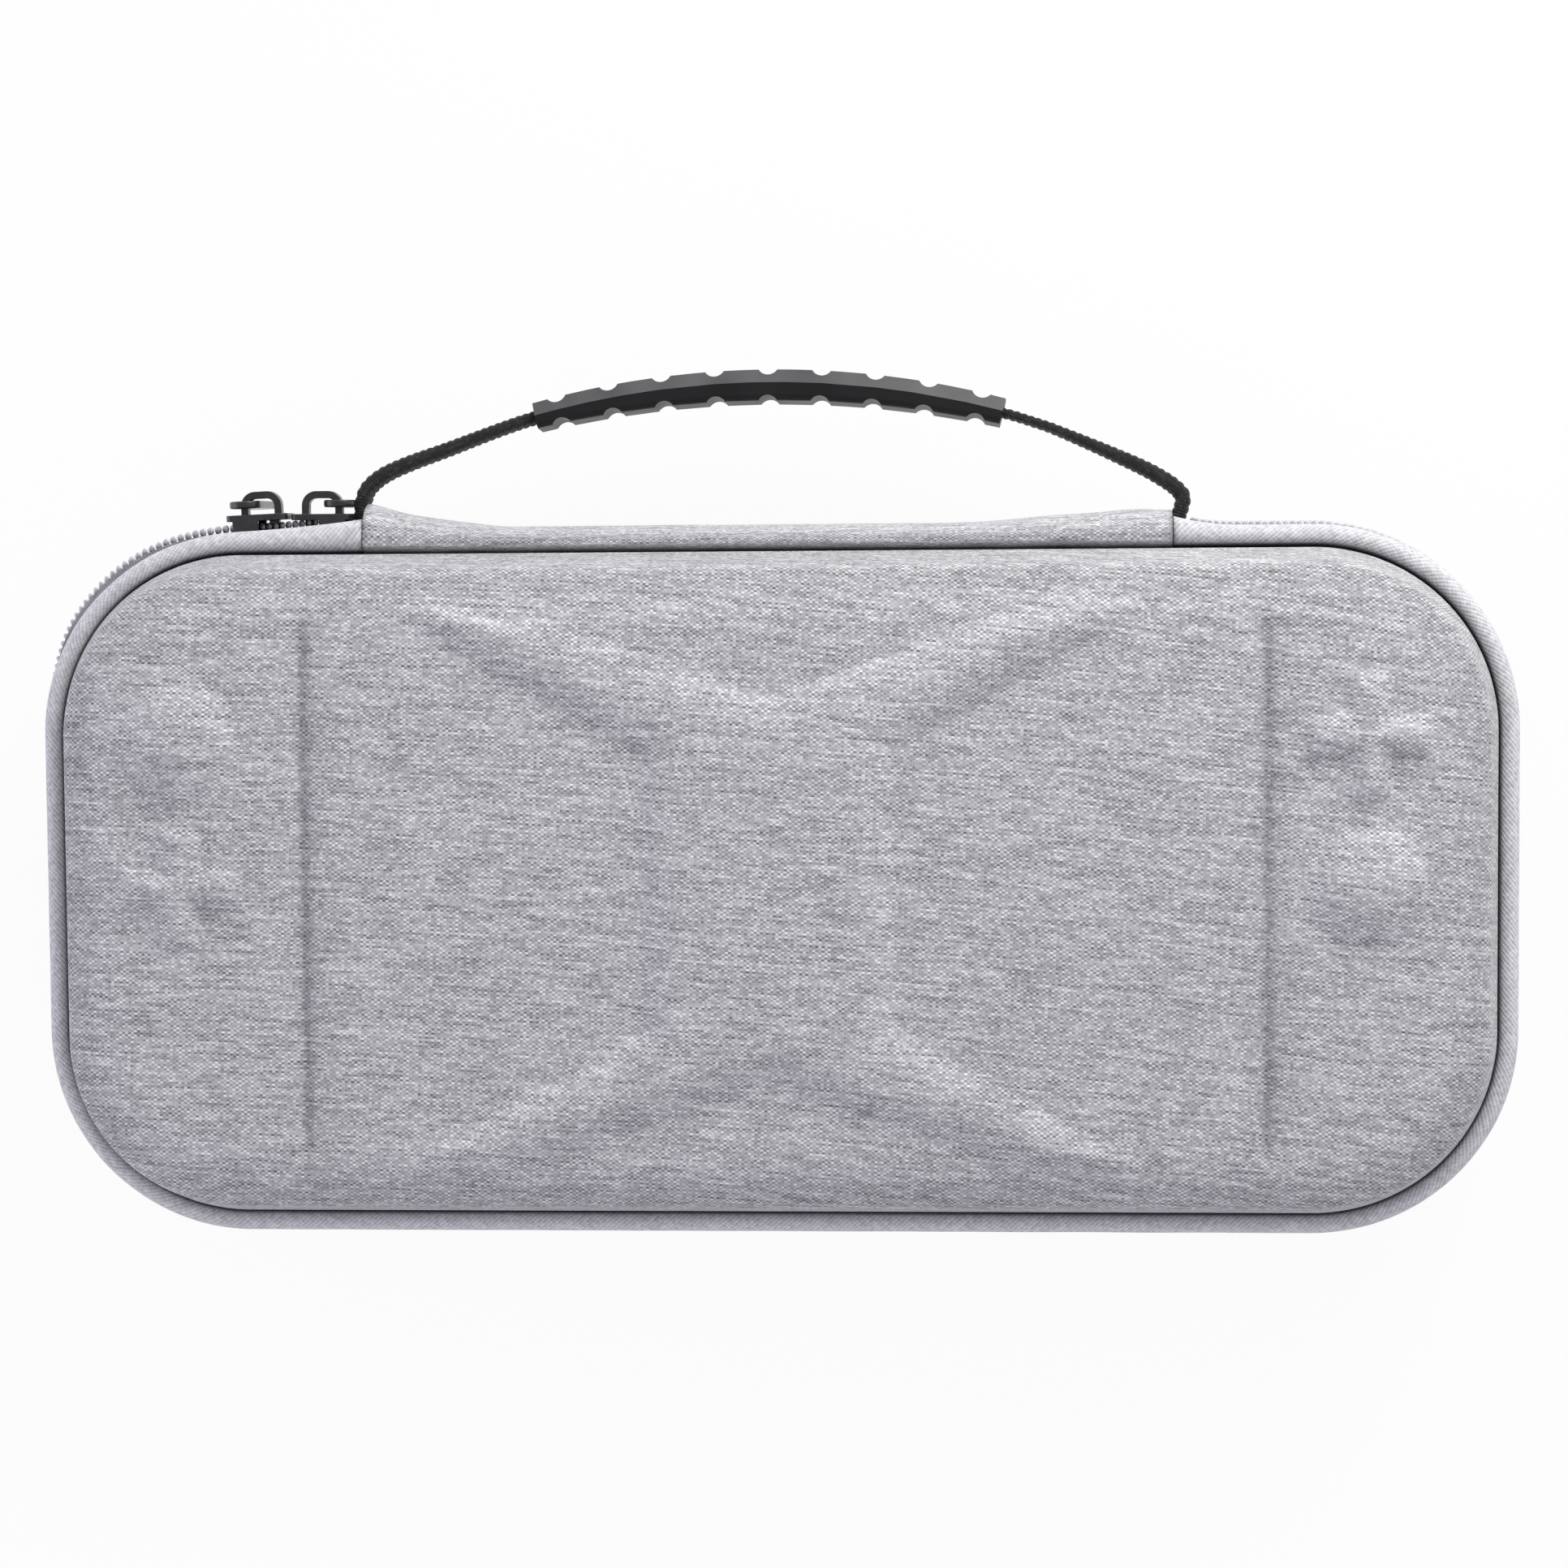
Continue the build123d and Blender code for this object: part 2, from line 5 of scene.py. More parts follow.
import bmesh
import bpy
from mathutils import Matrix, Vector, geometry, noise
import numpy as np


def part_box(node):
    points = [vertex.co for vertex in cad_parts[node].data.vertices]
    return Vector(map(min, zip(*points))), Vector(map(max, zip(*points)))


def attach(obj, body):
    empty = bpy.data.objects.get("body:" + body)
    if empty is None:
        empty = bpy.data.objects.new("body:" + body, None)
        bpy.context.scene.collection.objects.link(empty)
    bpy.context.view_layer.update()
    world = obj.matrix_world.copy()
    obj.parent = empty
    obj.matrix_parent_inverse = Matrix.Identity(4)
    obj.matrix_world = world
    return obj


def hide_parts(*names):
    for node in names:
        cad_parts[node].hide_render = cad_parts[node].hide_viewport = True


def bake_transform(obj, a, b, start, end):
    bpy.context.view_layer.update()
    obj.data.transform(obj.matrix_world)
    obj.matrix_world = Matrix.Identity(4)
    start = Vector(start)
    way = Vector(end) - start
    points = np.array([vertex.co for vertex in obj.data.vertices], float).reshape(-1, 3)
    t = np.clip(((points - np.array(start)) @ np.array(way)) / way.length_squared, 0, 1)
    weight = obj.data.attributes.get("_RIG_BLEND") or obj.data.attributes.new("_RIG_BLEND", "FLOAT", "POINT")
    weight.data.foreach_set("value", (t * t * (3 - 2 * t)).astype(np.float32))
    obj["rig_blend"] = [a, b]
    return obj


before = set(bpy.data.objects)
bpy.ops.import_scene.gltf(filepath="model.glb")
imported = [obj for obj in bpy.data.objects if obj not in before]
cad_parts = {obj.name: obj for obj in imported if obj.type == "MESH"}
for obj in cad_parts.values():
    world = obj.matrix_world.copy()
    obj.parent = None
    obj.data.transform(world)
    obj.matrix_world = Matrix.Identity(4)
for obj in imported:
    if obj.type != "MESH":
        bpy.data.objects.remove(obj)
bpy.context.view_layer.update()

# Moulded halves. Each is a foam sheet with a woven heather face and a brushed lining, pressed hot into a
# rounded tray. The front one also takes raised shapes from its mould: a cross, two domes, two pluses and
# two creases. Their rims are sewn into the edge bindings.
front_low, front_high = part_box("front_shell")
back_low, back_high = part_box("back_shell")
half_length = front_high.x
half_width = front_high.y
front_rim_z = front_low.z
back_rim_z = back_high.z
mid_z = (front_rim_z + back_rim_z) / 2
shell_depth = back_rim_z - back_low.z
corner_radius = 0.032
shell_wall = 0.0035
rim_land = 0.005
wall_draft = radians(14)
edge_radius = 0.0026
edge_turn = radians(64)
shoulder_radius = 0.022
sewn_run = 0.0053
# Painted shade: a band of the wall and shoulder next to the rim is darkened, standing in for the shade under
# the binding.
wall_shade_run = 0.018
wall_shade_fade = 0.005
wall_shade_share = 0.14
far_run = 0.045
front_cell = 0.00073
back_cell = 0.0016
lining_cell = 0.0030

crown_rise = 0.0020
cross_vertex_y = 0.0298
cross_outer_slope = 0.35
cross_block_x = 0.0203
cross_block_y = 0.0248
cross_inner_slope = 0.55
cross_outer_foot = 0.0032
cross_inner_foot = 0.0012
cross_rise = 0.0021
cross_flank = 0.0065
cross_fade = (0.044, 0.052)
crease_places = (-0.0808, 0.0852)
crease_depth = 0.0011
crease_spread = 0.0010
crease_fade = (0.044, 0.049)
# Painted shade along each crease: its share, spread and offset to the right of the crease line.
crease_painted_shade = ((0.16, 0.0011, 0.0), (0.10, 0.0028, 0.0014))
pad_x = 0.1026
upper_pad_y = 0.0261
lower_pad_y = 0.0006
dome_radius = 0.0104
dome_rise = 0.0039
plus_half_length = 0.0104
plus_half_arm = 0.0031
plus_foot = 0.0005
plus_rise = 0.0021
plus_flank = 0.0035
weft_slope = 0.08
weft_bow = 0.22
warp_slope = 0.04


def new_cloth():
    """An empty mesh that keeps the flat cloth's own coordinates, and its share of dark seam and painted shade.
    """
    mesh = bmesh.new()
    mesh.loops.layers.uv.new("cloth")
    mesh.verts.layers.float.new("sewn")
    return mesh


def cloth_patch(mesh, columns, rows, place):
    """A grid laid by place(across, along), which gives the spot, the flat cloth and the share of dark seam and
    painted shade.
    """
    cloth = mesh.loops.layers.uv["cloth"]
    sewn = mesh.verts.layers.float["sewn"]
    verts = bmesh.ops.create_grid(mesh, x_segments=columns, y_segments=rows, size=0.5)["verts"]
    flat = {}
    for vert in verts:
        vert.co, flat[vert], vert[sewn] = place(vert.co.x + 0.5, vert.co.y + 0.5)
    for face in {face for vert in verts for face in vert.link_faces}:
        for loop in face.loops:
            loop[cloth].uv = flat[loop.vert]
    return verts


def add_piece(name, mesh, *materials):
    """Makes the mesh an object with smooth faces that point outwards."""
    bmesh.ops.recalc_face_normals(mesh, faces=mesh.faces)
    for face in mesh.faces:
        face.smooth = True
    data = bpy.data.meshes.new(name)
    mesh.to_mesh(data)
    mesh.free()
    for material in materials:
        data.materials.append(material)
    piece = bpy.data.objects.new(name, data)
    bpy.context.collection.objects.link(piece)
    return piece


def squared(wave, power):
    """A sine or cosine made fuller, towards a square wave."""
    return copysign(abs(wave) ** power, wave)


def smooth_step(low, high, value):
    """0 at low, 1 at high and an even ease between."""
    share = min(max((value - low) / (high - low), 0.0), 1.0)
    return share * share * (3 - 2 * share)


def tray_section(run, inward):
    """How far in from the wall and how high over the rim the skin is after that much cloth."""
    depth = shell_depth - inward
    tight = edge_radius - inward / 2
    wide = shoulder_radius - inward
    climb = depth - rim_land - tight * (sin(edge_turn) - sin(wall_draft)) - wide * (1 - sin(edge_turn))
    draft_run = climb / cos(wall_draft)
    edge_run = tight * (edge_turn - wall_draft)
    shoulder_run = wide * (pi / 2 - edge_turn)
    if run <= rim_land:
        return 0.0, run
    run -= rim_land
    if run <= draft_run:
        return run * sin(wall_draft), rim_land + run * cos(wall_draft)
    run -= draft_run
    inset = draft_run * sin(wall_draft)
    if run <= edge_run:
        angle = wall_draft + run / tight
        height = rim_land + climb + tight * (sin(angle) - sin(wall_draft))
        return inset + tight * (cos(wall_draft) - cos(angle)), height
    run -= edge_run
    inset += tight * (cos(wall_draft) - cos(edge_turn))
    if run <= shoulder_run:
        angle = edge_turn + run / wide
        return inset + wide * (cos(edge_turn) - cos(angle)), depth - wide * (1 - sin(angle))
    return inset + wide * cos(edge_turn) + run - shoulder_run, depth


def pressed_skin(mesh, cell, inward, rim_z, side, lift):
    """A cloth pressed into the tray, inward of its outer face. side is 1 to the front, -1 to the back."""
    spare = far_run - tray_section(far_run, inward)[0]
    reach_x = half_length - inward + spare
    reach_y = half_width - inward + spare
    corner = corner_radius - inward + spare

    def place(across, along):
        x = (2 * across - 1) * reach_x
        y = (2 * along - 1) * reach_y
        over_x = abs(x) - (reach_x - corner)
        over_y = abs(y) - (reach_y - corner)
        if over_x > 0 and over_y > 0:
            round_x = over_x * sqrt(1 - (over_y / corner) ** 2 / 2)
            round_y = over_y * sqrt(1 - (over_x / corner) ** 2 / 2)
            x = copysign(reach_x - corner + round_x, x)
            y = copysign(reach_y - corner + round_y, y)
            out = Vector((copysign(round_x, x), copysign(round_y, y)))
            run = corner - out.length
            out.normalize()
        elif over_x > over_y:
            out = Vector((copysign(1, x), 0))
            run = corner - over_x
        else:
            out = Vector((0, copysign(1, y)))
            run = corner - over_y
        inset, height = tray_section(max(run, 0.0), inward)
        spot = Vector((x, y)) + out * (run - spare - inset)
        raised, crease_shade = lift(spot.x, spot.y)
        at = Vector((spot.x, spot.y, rim_z + side * (height + raised)))
        skewed = (x - warp_slope * y, y + weft_slope * x + weft_bow * x * x)
        # Painted shade on the wall band by the rim. It is joined with the dark seam line and the painted crease
        # shade into one dark share.
        wall_shade = wall_shade_share * (1 - smooth_step(wall_shade_run, wall_shade_run + wall_shade_fade, run))
        return at, skewed, max(1 - smooth_step(0.85 * sewn_run, sewn_run, run), crease_shade, wall_shade)

    return cloth_patch(mesh, round(2 * reach_x / cell), round(2 * reach_y / cell), place)


def no_lift(x, y):
    """The plain face has no relief."""
    return 0.0, 0.0


def front_lift(x, y):
    """Height of the raised shapes on the front, and how much shade is painted in its creases."""
    from_x = abs(x)
    from_y = abs(y)
    height = crown_rise * (1 - (x / half_length) ** 2) * (1 - (y / half_width) ** 2)
    outer = (cross_vertex_y + cross_outer_slope * from_x - from_y) / hypot(1, cross_outer_slope)
    beside = cross_block_x - from_x
    under = (from_y - cross_block_y + cross_inner_slope * beside) / hypot(1, cross_inner_slope)
    inside = min(outer + cross_outer_foot, max(beside, under) + cross_inner_foot)
    climbed = min(max(inside / cross_flank, 0.0), 1.0)
    height += cross_rise * (1 - (1 - climbed) ** 2) * (1 - smooth_step(*cross_fade, from_y))
    crease_shade = 0.0
    for crease_x in crease_places:
        fade = 1 - smooth_step(*crease_fade, from_y)
        height -= crease_depth * exp(-(((x - crease_x) / crease_spread) ** 2)) * fade
        # Painted shade in and just right of each crease, on top of the groove's own depth.
        for share, spread, aside in crease_painted_shade:
            crease_shade += share * exp(-(((x - crease_x - aside) / spread) ** 2)) * fade
    end = copysign(1, x)
    dome_y = upper_pad_y if end < 0 else lower_pad_y
    plus_y = lower_pad_y if end < 0 else upper_pad_y
    dome_off = hypot(x - end * pad_x, y - dome_y)
    if dome_off < dome_radius:
        dome_sphere = (dome_radius**2 + dome_rise**2) / (2 * dome_rise)
        height += sqrt(dome_sphere**2 - dome_off**2) - dome_sphere + dome_rise
    plus_off_x = abs(x - end * pad_x)
    plus_off_y = abs(y - plus_y)
    lying = min(plus_half_length - plus_off_x, plus_half_arm - plus_off_y)
    standing = min(plus_half_arm - plus_off_x, plus_half_length - plus_off_y)
    climbed = min(max((max(lying, standing) + plus_foot) / plus_flank, 0.0), 1.0)
    height += plus_rise * (1 - (1 - climbed) ** 2)
    return height, crease_shade


def pressed_half(name, cell, rim_z, side, lift, *materials):
    """A face and a lining, joined all round along the rim."""
    mesh = new_cloth()
    pressed_skin(mesh, cell, 0.0, rim_z, side, lift)
    lining_verts = pressed_skin(mesh, lining_cell, shell_wall, rim_z, side, no_lift)
    for face in {face for vert in lining_verts for face in vert.link_faces}:
        face.material_index = 1
    rims = [edge for edge in mesh.edges if edge.is_boundary]
    bmesh.ops.triangle_fill(mesh, edges=rims, use_beauty=True, normal=(0, 0, 1))
    return add_piece(name, mesh, *materials)


def add_node(tree, kind, inputs=None, **settings):
    """A node with its settings. Each input is a value, or a socket to link."""
    made = tree.nodes.new("ShaderNode" + kind)
    for setting, value in settings.items():
        setattr(made, setting, value)
    for socket, value in (inputs or {}).items():
        if isinstance(value, bpy.types.NodeSocket):
            tree.links.new(value, made.inputs[socket])
        else:
            made.inputs[socket].default_value = value
    return made


def maths(tree, operation, *values):
    """The result of one Math node."""
    return add_node(tree, "Math", dict(enumerate(values)), operation=operation).outputs[0]


def new_finish(name, constants):
    """A material, its node tree and its shader, with the constants on the shader's own sockets."""
    material = bpy.data.materials.new(name)
    material.use_nodes = True
    tree = material.node_tree
    shader = tree.nodes["Principled BSDF"]
    for socket, value in constants.items():
        shader.inputs[socket].default_value = value
    return material, tree, shader


def new_group(name, inputs, outputs):
    """A node group with named float or vector sockets, and its two end nodes."""
    tree = bpy.data.node_groups.new(name, "ShaderNodeTree")
    for socket, kind in inputs.items():
        tree.interface.new_socket(socket, in_out="INPUT", socket_type="NodeSocket" + kind)
    for socket, kind in outputs.items():
        tree.interface.new_socket(socket, in_out="OUTPUT", socket_type="NodeSocket" + kind)
    return tree, tree.nodes.new("NodeGroupInput"), tree.nodes.new("NodeGroupOutput")


# Plain weave: warp and weft pass over each other by turns. Each crossing is a small hump of yarn.
plain_weave, weave_in, weave_out = new_group(
    "plain_weave",
    {"Cloth": "Vector", "Warp pitch": "Float", "Weft pitch": "Float"},
    {"Height": "Float", "Warp share": "Float", "Warp yarn": "Float", "Weft yarn": "Float"},
)
cloth_axes = add_node(plain_weave, "SeparateXYZ", {0: weave_in.outputs["Cloth"]})
across_yarns = maths(plain_weave, "DIVIDE", cloth_axes.outputs["X"], weave_in.outputs["Warp pitch"])
along_yarns = maths(plain_weave, "DIVIDE", cloth_axes.outputs["Y"], weave_in.outputs["Weft pitch"])
across_wave = maths(plain_weave, "SINE", maths(plain_weave, "MULTIPLY", across_yarns, pi))
along_wave = maths(plain_weave, "SINE", maths(plain_weave, "MULTIPLY", along_yarns, pi))
crossing = maths(plain_weave, "MULTIPLY", across_wave, along_wave)
hump = maths(plain_weave, "SQRT", maths(plain_weave, "ABSOLUTE", crossing))
warp_share = add_node(plain_weave, "MapRange", {"Value": crossing, "From Min": -0.8, "From Max": 0.8})
plain_weave.links.new(hump, weave_out.inputs["Height"])
plain_weave.links.new(warp_share.outputs[0], weave_out.inputs["Warp share"])
plain_weave.links.new(maths(plain_weave, "FLOOR", across_yarns), weave_out.inputs["Warp yarn"])
plain_weave.links.new(maths(plain_weave, "FLOOR", along_yarns), weave_out.inputs["Weft yarn"])


def woven(tree, warp_pitch, weft_pitch):
    """The weave group on the piece's own cloth, and the cloth's two coordinates."""
    cloth = add_node(tree, "UVMap", uv_map="cloth").outputs["UV"]
    weave = tree.nodes.new("ShaderNodeGroup")
    weave.node_tree = plain_weave
    tree.links.new(cloth, weave.inputs["Cloth"])
    weave.inputs["Warp pitch"].default_value = warp_pitch
    weave.inputs["Weft pitch"].default_value = weft_pitch
    axes = add_node(tree, "SeparateXYZ", {0: cloth})
    return weave, axes.outputs["X"], axes.outputs["Y"]


def yarn_tone(tree, along, yarn, length, spread):
    """Even noise that runs along each yarn for about that length and starts afresh on the next one."""
    place = add_node(
        tree,
        "CombineXYZ",
        {0: maths(tree, "DIVIDE", along, length), 1: maths(tree, "MULTIPLY", yarn, spread), 2: spread},
    )
    tone = add_node(tree, "TexNoise", {"Vector": place.outputs[0], "Scale": 1.0, "Detail": 1.0})
    return tone.outputs["Fac"]


def tone_ramp(tree, value, stops):
    """A colour ramp from a value, with its stops as place and colour."""
    ramp = add_node(tree, "ValToRGB", {0: value})
    bands = ramp.color_ramp.elements
    while len(bands) < len(stops):
        bands.new(0.5)
    for band, (place, colour) in zip(bands, stops):
        band.position = place
        band.color = (*colour, 1.0)
    return ramp.outputs["Color"]


def mixed(tree, blend, share, first, second):
    """Two colours mixed by a share."""
    mix = add_node(tree, "Mix", data_type="RGBA", blend_type=blend)
    for socket, value in ((0, share), (6, first), (7, second)):
        if isinstance(value, bpy.types.NodeSocket):
            tree.links.new(value, mix.inputs[socket])
        else:
            mix.inputs[socket].default_value = value
    return mix.outputs[2]


def weighted(tree, first, second, share):
    """Two values added, with that share of the first and the rest of the second."""
    rest = maths(tree, "MULTIPLY", second, 1 - share)
    return maths(tree, "ADD", maths(tree, "MULTIPLY", first, share), rest)


def add_bump(tree, shader, height, distance, strength):
    """Feeds a height to the shader's normal."""
    bump = add_node(tree, "Bump", {"Height": height, "Distance": distance, "Strength": strength})
    tree.links.new(bump.outputs["Normal"], shader.inputs["Normal"])


def grey(level, tint=0.0):
    """A grey that leans a little to lavender."""
    return (level, level * (1 - 0.2 * tint), level * (1 + tint))


# Near black, used for the dark seam line and also for painted shade in creases, crevices and along the rims.
seam_and_shade_colour = (0.012, 0.012, 0.014, 1)
heather, tree, shader = new_finish(
    "heather_cloth",
    {"Roughness": 0.9, "Specular IOR Level": 0.25, "Sheen Weight": 0.12, "Sheen Roughness": 0.5},
)
weave, across, along = woven(tree, 0.000535, 0.000385)
long_tone = yarn_tone(tree, across, weave.outputs["Weft yarn"], 0.0075, 3.71)
short_tone = yarn_tone(tree, across, weave.outputs["Weft yarn"], 0.0013, 5.13)
weft_tone = weighted(tree, long_tone, short_tone, 0.55)
weft_stops = (
    (0.30, 0.09, 0.04),
    (0.42, 0.20, 0.03),
    (0.50, 0.31, 0.02),
    (0.60, 0.43, 0.01),
    (0.72, 0.66, 0.0),
)
weft_colour = tone_ramp(tree, weft_tone, [(place, grey(level, tint)) for place, level, tint in weft_stops])
warp_mark = maths(tree, "MULTIPLY", weave.outputs["Warp yarn"], 7.31)
speck = maths(tree, "ADD", warp_mark, weave.outputs["Weft yarn"])
speck_tone = add_node(tree, "TexWhiteNoise", {"W": speck}, noise_dimensions="1D").outputs["Value"]
warp_tone = weighted(tree, weft_tone, speck_tone, 0.6)
warp_stops = ((0.25, grey(0.37, 0.02)), (0.5, grey(0.63, 0.01)), (0.75, grey(0.95, 0.0)))
warp_colour = tone_ramp(tree, warp_tone, warp_stops)
yarn_colour = mixed(tree, "MIX", weave.outputs["Warp share"], weft_colour, warp_colour)
shaded_colour = mixed(tree, "MULTIPLY", 1.0, yarn_colour, (0.985, 0.985, 0.985, 1))
# Darkens the cloth by its dark share: the seam line at the rims, plus painted shade in the creases, on the wall
# band by the rim and on the hinge panel's roll.
sewn_share = add_node(tree, "Attribute", attribute_name="sewn").outputs["Fac"]
heather_colour = mixed(tree, "MIX", sewn_share, shaded_colour, seam_and_shade_colour)
tree.links.new(heather_colour, shader.inputs["Base Color"])
add_bump(tree, shader, weave.outputs["Height"], 0.00009, 0.5)

lining_cloth, tree, shader = new_finish(
    "brushed_lining",
    {"Roughness": 0.95, "Specular IOR Level": 0.2, "Sheen Weight": 0.35, "Sheen Roughness": 0.6},
)
place = add_node(tree, "TexCoord").outputs["Object"]
nap = add_node(tree, "TexNoise", {"Vector": place, "Scale": 900.0, "Detail": 3.0}).outputs["Fac"]
patches = add_node(tree, "TexNoise", {"Vector": place, "Scale": 60.0, "Detail": 2.0}).outputs["Fac"]
nap_tone = weighted(tree, nap, patches, 0.6)
lining_colour = tone_ramp(tree, nap_tone, ((0.3, grey(0.010)), (0.5, grey(0.018)), (0.7, grey(0.034))))
tree.links.new(lining_colour, shader.inputs["Base Color"])
add_bump(tree, shader, nap, 0.00025, 0.5)

front_half = pressed_half("moulded_front", front_cell, front_rim_z, 1, front_lift, heather, lining_cloth)
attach(front_half, "lid")
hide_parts("front_shell")
back_half = pressed_half("moulded_back", back_cell, back_rim_z, -1, no_lift, heather, lining_cloth)
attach(back_half, "base")
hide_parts("back_shell")

# Edge bindings. Bias-cut twill folded round a soft cord and sewn on each rim as a round bead. They run
# from one end of the hinge panel right round the case to the other.
panel_low, panel_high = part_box("hinge_panel")
binding_out = 0.0040
binding_height = 0.0045
binding_middle = 0.00205
binding_groove = 0.0002
binding_gap = 0.0002
binding_step = 0.0012
binding_points = 28
# Where the bead is darkened on its inner side: the dark seam line plus painted crevice shade.
seam_and_shade_inside = -0.0005
seam_and_shade_band = (0.0003, 0.0009)
right_flare = 0.0016
right_flare_run = 0.011
left_flare = 0.0022
left_flare_run = 0.029
left_flare_power = 1.8
twill_pitch = 0.00068
twill_lean = 1.0
straight_x = half_length - corner_radius
straight_y = half_width - corner_radius
corner_arc = corner_radius * pi / 2
rim_legs = (
    straight_x - panel_high.x,
    2 * straight_y,
    2 * straight_x,
    2 * straight_y,
    straight_x + panel_low.x,
)
rim_length = sum(rim_legs) + 4 * corner_arc


def rim_spot(run, out):
    """A spot beside the wall after a run round the case from the panel's right end, and its outward way."""
    at = Vector((panel_high.x, half_width))
    heading = 0.0
    for leg in rim_legs:
        outward = Vector((-sin(heading), cos(heading)))
        if run <= leg or leg is rim_legs[-1]:
            return at + Vector((cos(heading), sin(heading))) * run + outward * out, outward
        at = at + Vector((cos(heading), sin(heading))) * leg
        run -= leg
        centre = at - outward * corner_radius
        if run <= corner_arc:
            heading -= run / corner_radius
            outward = Vector((-sin(heading), cos(heading)))
            return centre + outward * (corner_radius + out), outward
        run -= corner_arc
        heading -= pi / 2
        at = centre + Vector((-sin(heading), cos(heading))) * corner_radius


def along_rim(mesh, start, stop, step, section, points, girth):
    """A closed section carried along the rim. section(share, run) gives its distance out and its height."""

    def place(across, along):
        run = start + (stop - start) * across
        out, height = section(along, run)
        spot, outward = rim_spot(run, out)
        # Painted crevice shade and the dark seam line, low on the bead's inner side against the wall.
        sewn = 1 - smooth_step(*seam_and_shade_band, out) if out > seam_and_shade_inside else 0.0
        return Vector((spot.x, spot.y, height)), (run, along * girth), sewn

    verts = cloth_patch(mesh, round((stop - start) / step), points, place)
    bmesh.ops.remove_doubles(mesh, verts=verts, dist=0.000001)
    open_ends = [edge for edge in mesh.edges if edge.is_boundary]
    bmesh.ops.holes_fill(mesh, edges=open_ends)


def bead_flare(run):
    """How much further the slack panel draws the bead out at either end."""
    right = max(1 - run / right_flare_run, 0.0) ** 2
    left = max(1 - (rim_length - run) / left_flare_run, 0.0) ** left_flare_power
    return right_flare * right + left_flare * left


def bead_section(rim_z, side):
    """The round bead, uneven as a hand-guided binding is. Low on its inner side it is joined to the wall."""

    def section(share, run):
        angle = 2 * pi * share
        fullness = 1 + 0.03 * noise.noise(Vector((run * 90, side, 0.0)))
        middle = binding_middle + bead_flare(run) / 2
        out = middle + (binding_out + bead_flare(run) - middle) * fullness * cos(angle)
        if cos(angle) < 0:
            low = min(max(-2.5 * sin(angle), 0.0), 1.0)
            reach = middle - binding_groove + (binding_groove + 0.0001) * low
            out = middle - reach * abs(cos(angle)) ** (1 - 0.6 * low)
        return out, rim_z + side * binding_height / 2 * (1 + fullness * sin(angle))

    return section


twill, tree, shader = new_finish(
    "bias_twill",
    {"Roughness": 0.88, "Specular IOR Level": 0.25, "Sheen Weight": 0.15, "Sheen Roughness": 0.5},
)
cloth = add_node(tree, "UVMap", uv_map="cloth").outputs["UV"]
axes = add_node(tree, "SeparateXYZ", {0: cloth})
slant = maths(tree, "ADD", axes.outputs["X"], maths(tree, "MULTIPLY", axes.outputs["Y"], twill_lean))
counter = maths(tree, "SUBTRACT", axes.outputs["X"], maths(tree, "MULTIPLY", axes.outputs["Y"], twill_lean))
wander = add_node(tree, "TexNoise", {"Vector": cloth, "Scale": 350.0, "Detail": 2.0}).outputs["Fac"]
even_stripe = maths(tree, "DIVIDE", slant, twill_pitch * sqrt(2))
stripe = maths(tree, "ADD", even_stripe, maths(tree, "MULTIPLY", wander, 0.5))
ridge = maths(tree, "SINE", maths(tree, "MULTIPLY", stripe, 2 * pi))
stripe_yarn = maths(tree, "FLOOR", stripe)
stitches = maths(tree, "SINE", maths(tree, "MULTIPLY", counter, 2 * pi / 0.0009))
relief = maths(tree, "ADD", ridge, maths(tree, "MULTIPLY", stitches, 0.35))
ridge_share = add_node(tree, "MapRange", {"Value": relief, "From Min": -1.2, "From Max": 1.2})
tone = yarn_tone(tree, counter, stripe_yarn, 0.0012, 2.93)
stripe_colour = tone_ramp(tree, tone, ((0.3, grey(0.55)), (0.5, grey(0.67)), (0.7, grey(0.79))))
# Painted shade: the twill's grooves are darker and a little cooler than its ridges.
painted_groove_shade = mixed(tree, "MULTIPLY", 1.0, stripe_colour, (0.72, 0.72, 0.74, 1))
twill_colour = mixed(tree, "MIX", ridge_share.outputs[0], painted_groove_shade, stripe_colour)
# The bead's inner side is darkened for the seam line and for painted crevice shade.
sewn_share = add_node(tree, "Attribute", attribute_name="sewn").outputs["Fac"]
binding_colour = mixed(tree, "MIX", sewn_share, twill_colour, seam_and_shade_colour)
tree.links.new(binding_colour, shader.inputs["Base Color"])
add_bump(tree, shader, ridge_share.outputs[0], 0.00010, 0.6)

for bead_name, node, body, rim_z, side in (
    ("front_bead", "front_binding", "lid", front_rim_z, 1),
    ("back_bead", "back_binding", "base", back_rim_z, -1),
):
    mesh = new_cloth()
    bead_girth = pi * (binding_out + binding_height) / 2
    bead_stop = rim_length - binding_gap
    round_bead = bead_section(rim_z, side)
    along_rim(mesh, binding_gap, bead_stop, binding_step, round_bead, binding_points, bead_girth)
    bead = add_piece(bead_name, mesh, twill)
    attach(bead, body)
    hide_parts(node)

# Zip. Two woven tapes are sewn under the bindings. Each carries a row of slanted nylon elements, and the
# two rows mesh along the middle of the gap.
tape_in = 0.0026
tape_thickness = 0.0006
tape_edge_gap = 0.0008
tape_height = front_rim_z - mid_z - tape_edge_gap
coil_in = 0.00325
coil_thickness = 0.00145
coil_height = 0.0022
coil_pitch = 0.0012
coil_lap = 0.00035
coil_lean = radians(24)
coil_half_length = 0.00045
zip_end_gap = 0.0040
zip_step = 0.002
sway_near = 0.0007
sway_more = 0.0013
sway_growth = (0.020, 0.046)
sway_fade = (0.052, 0.074)


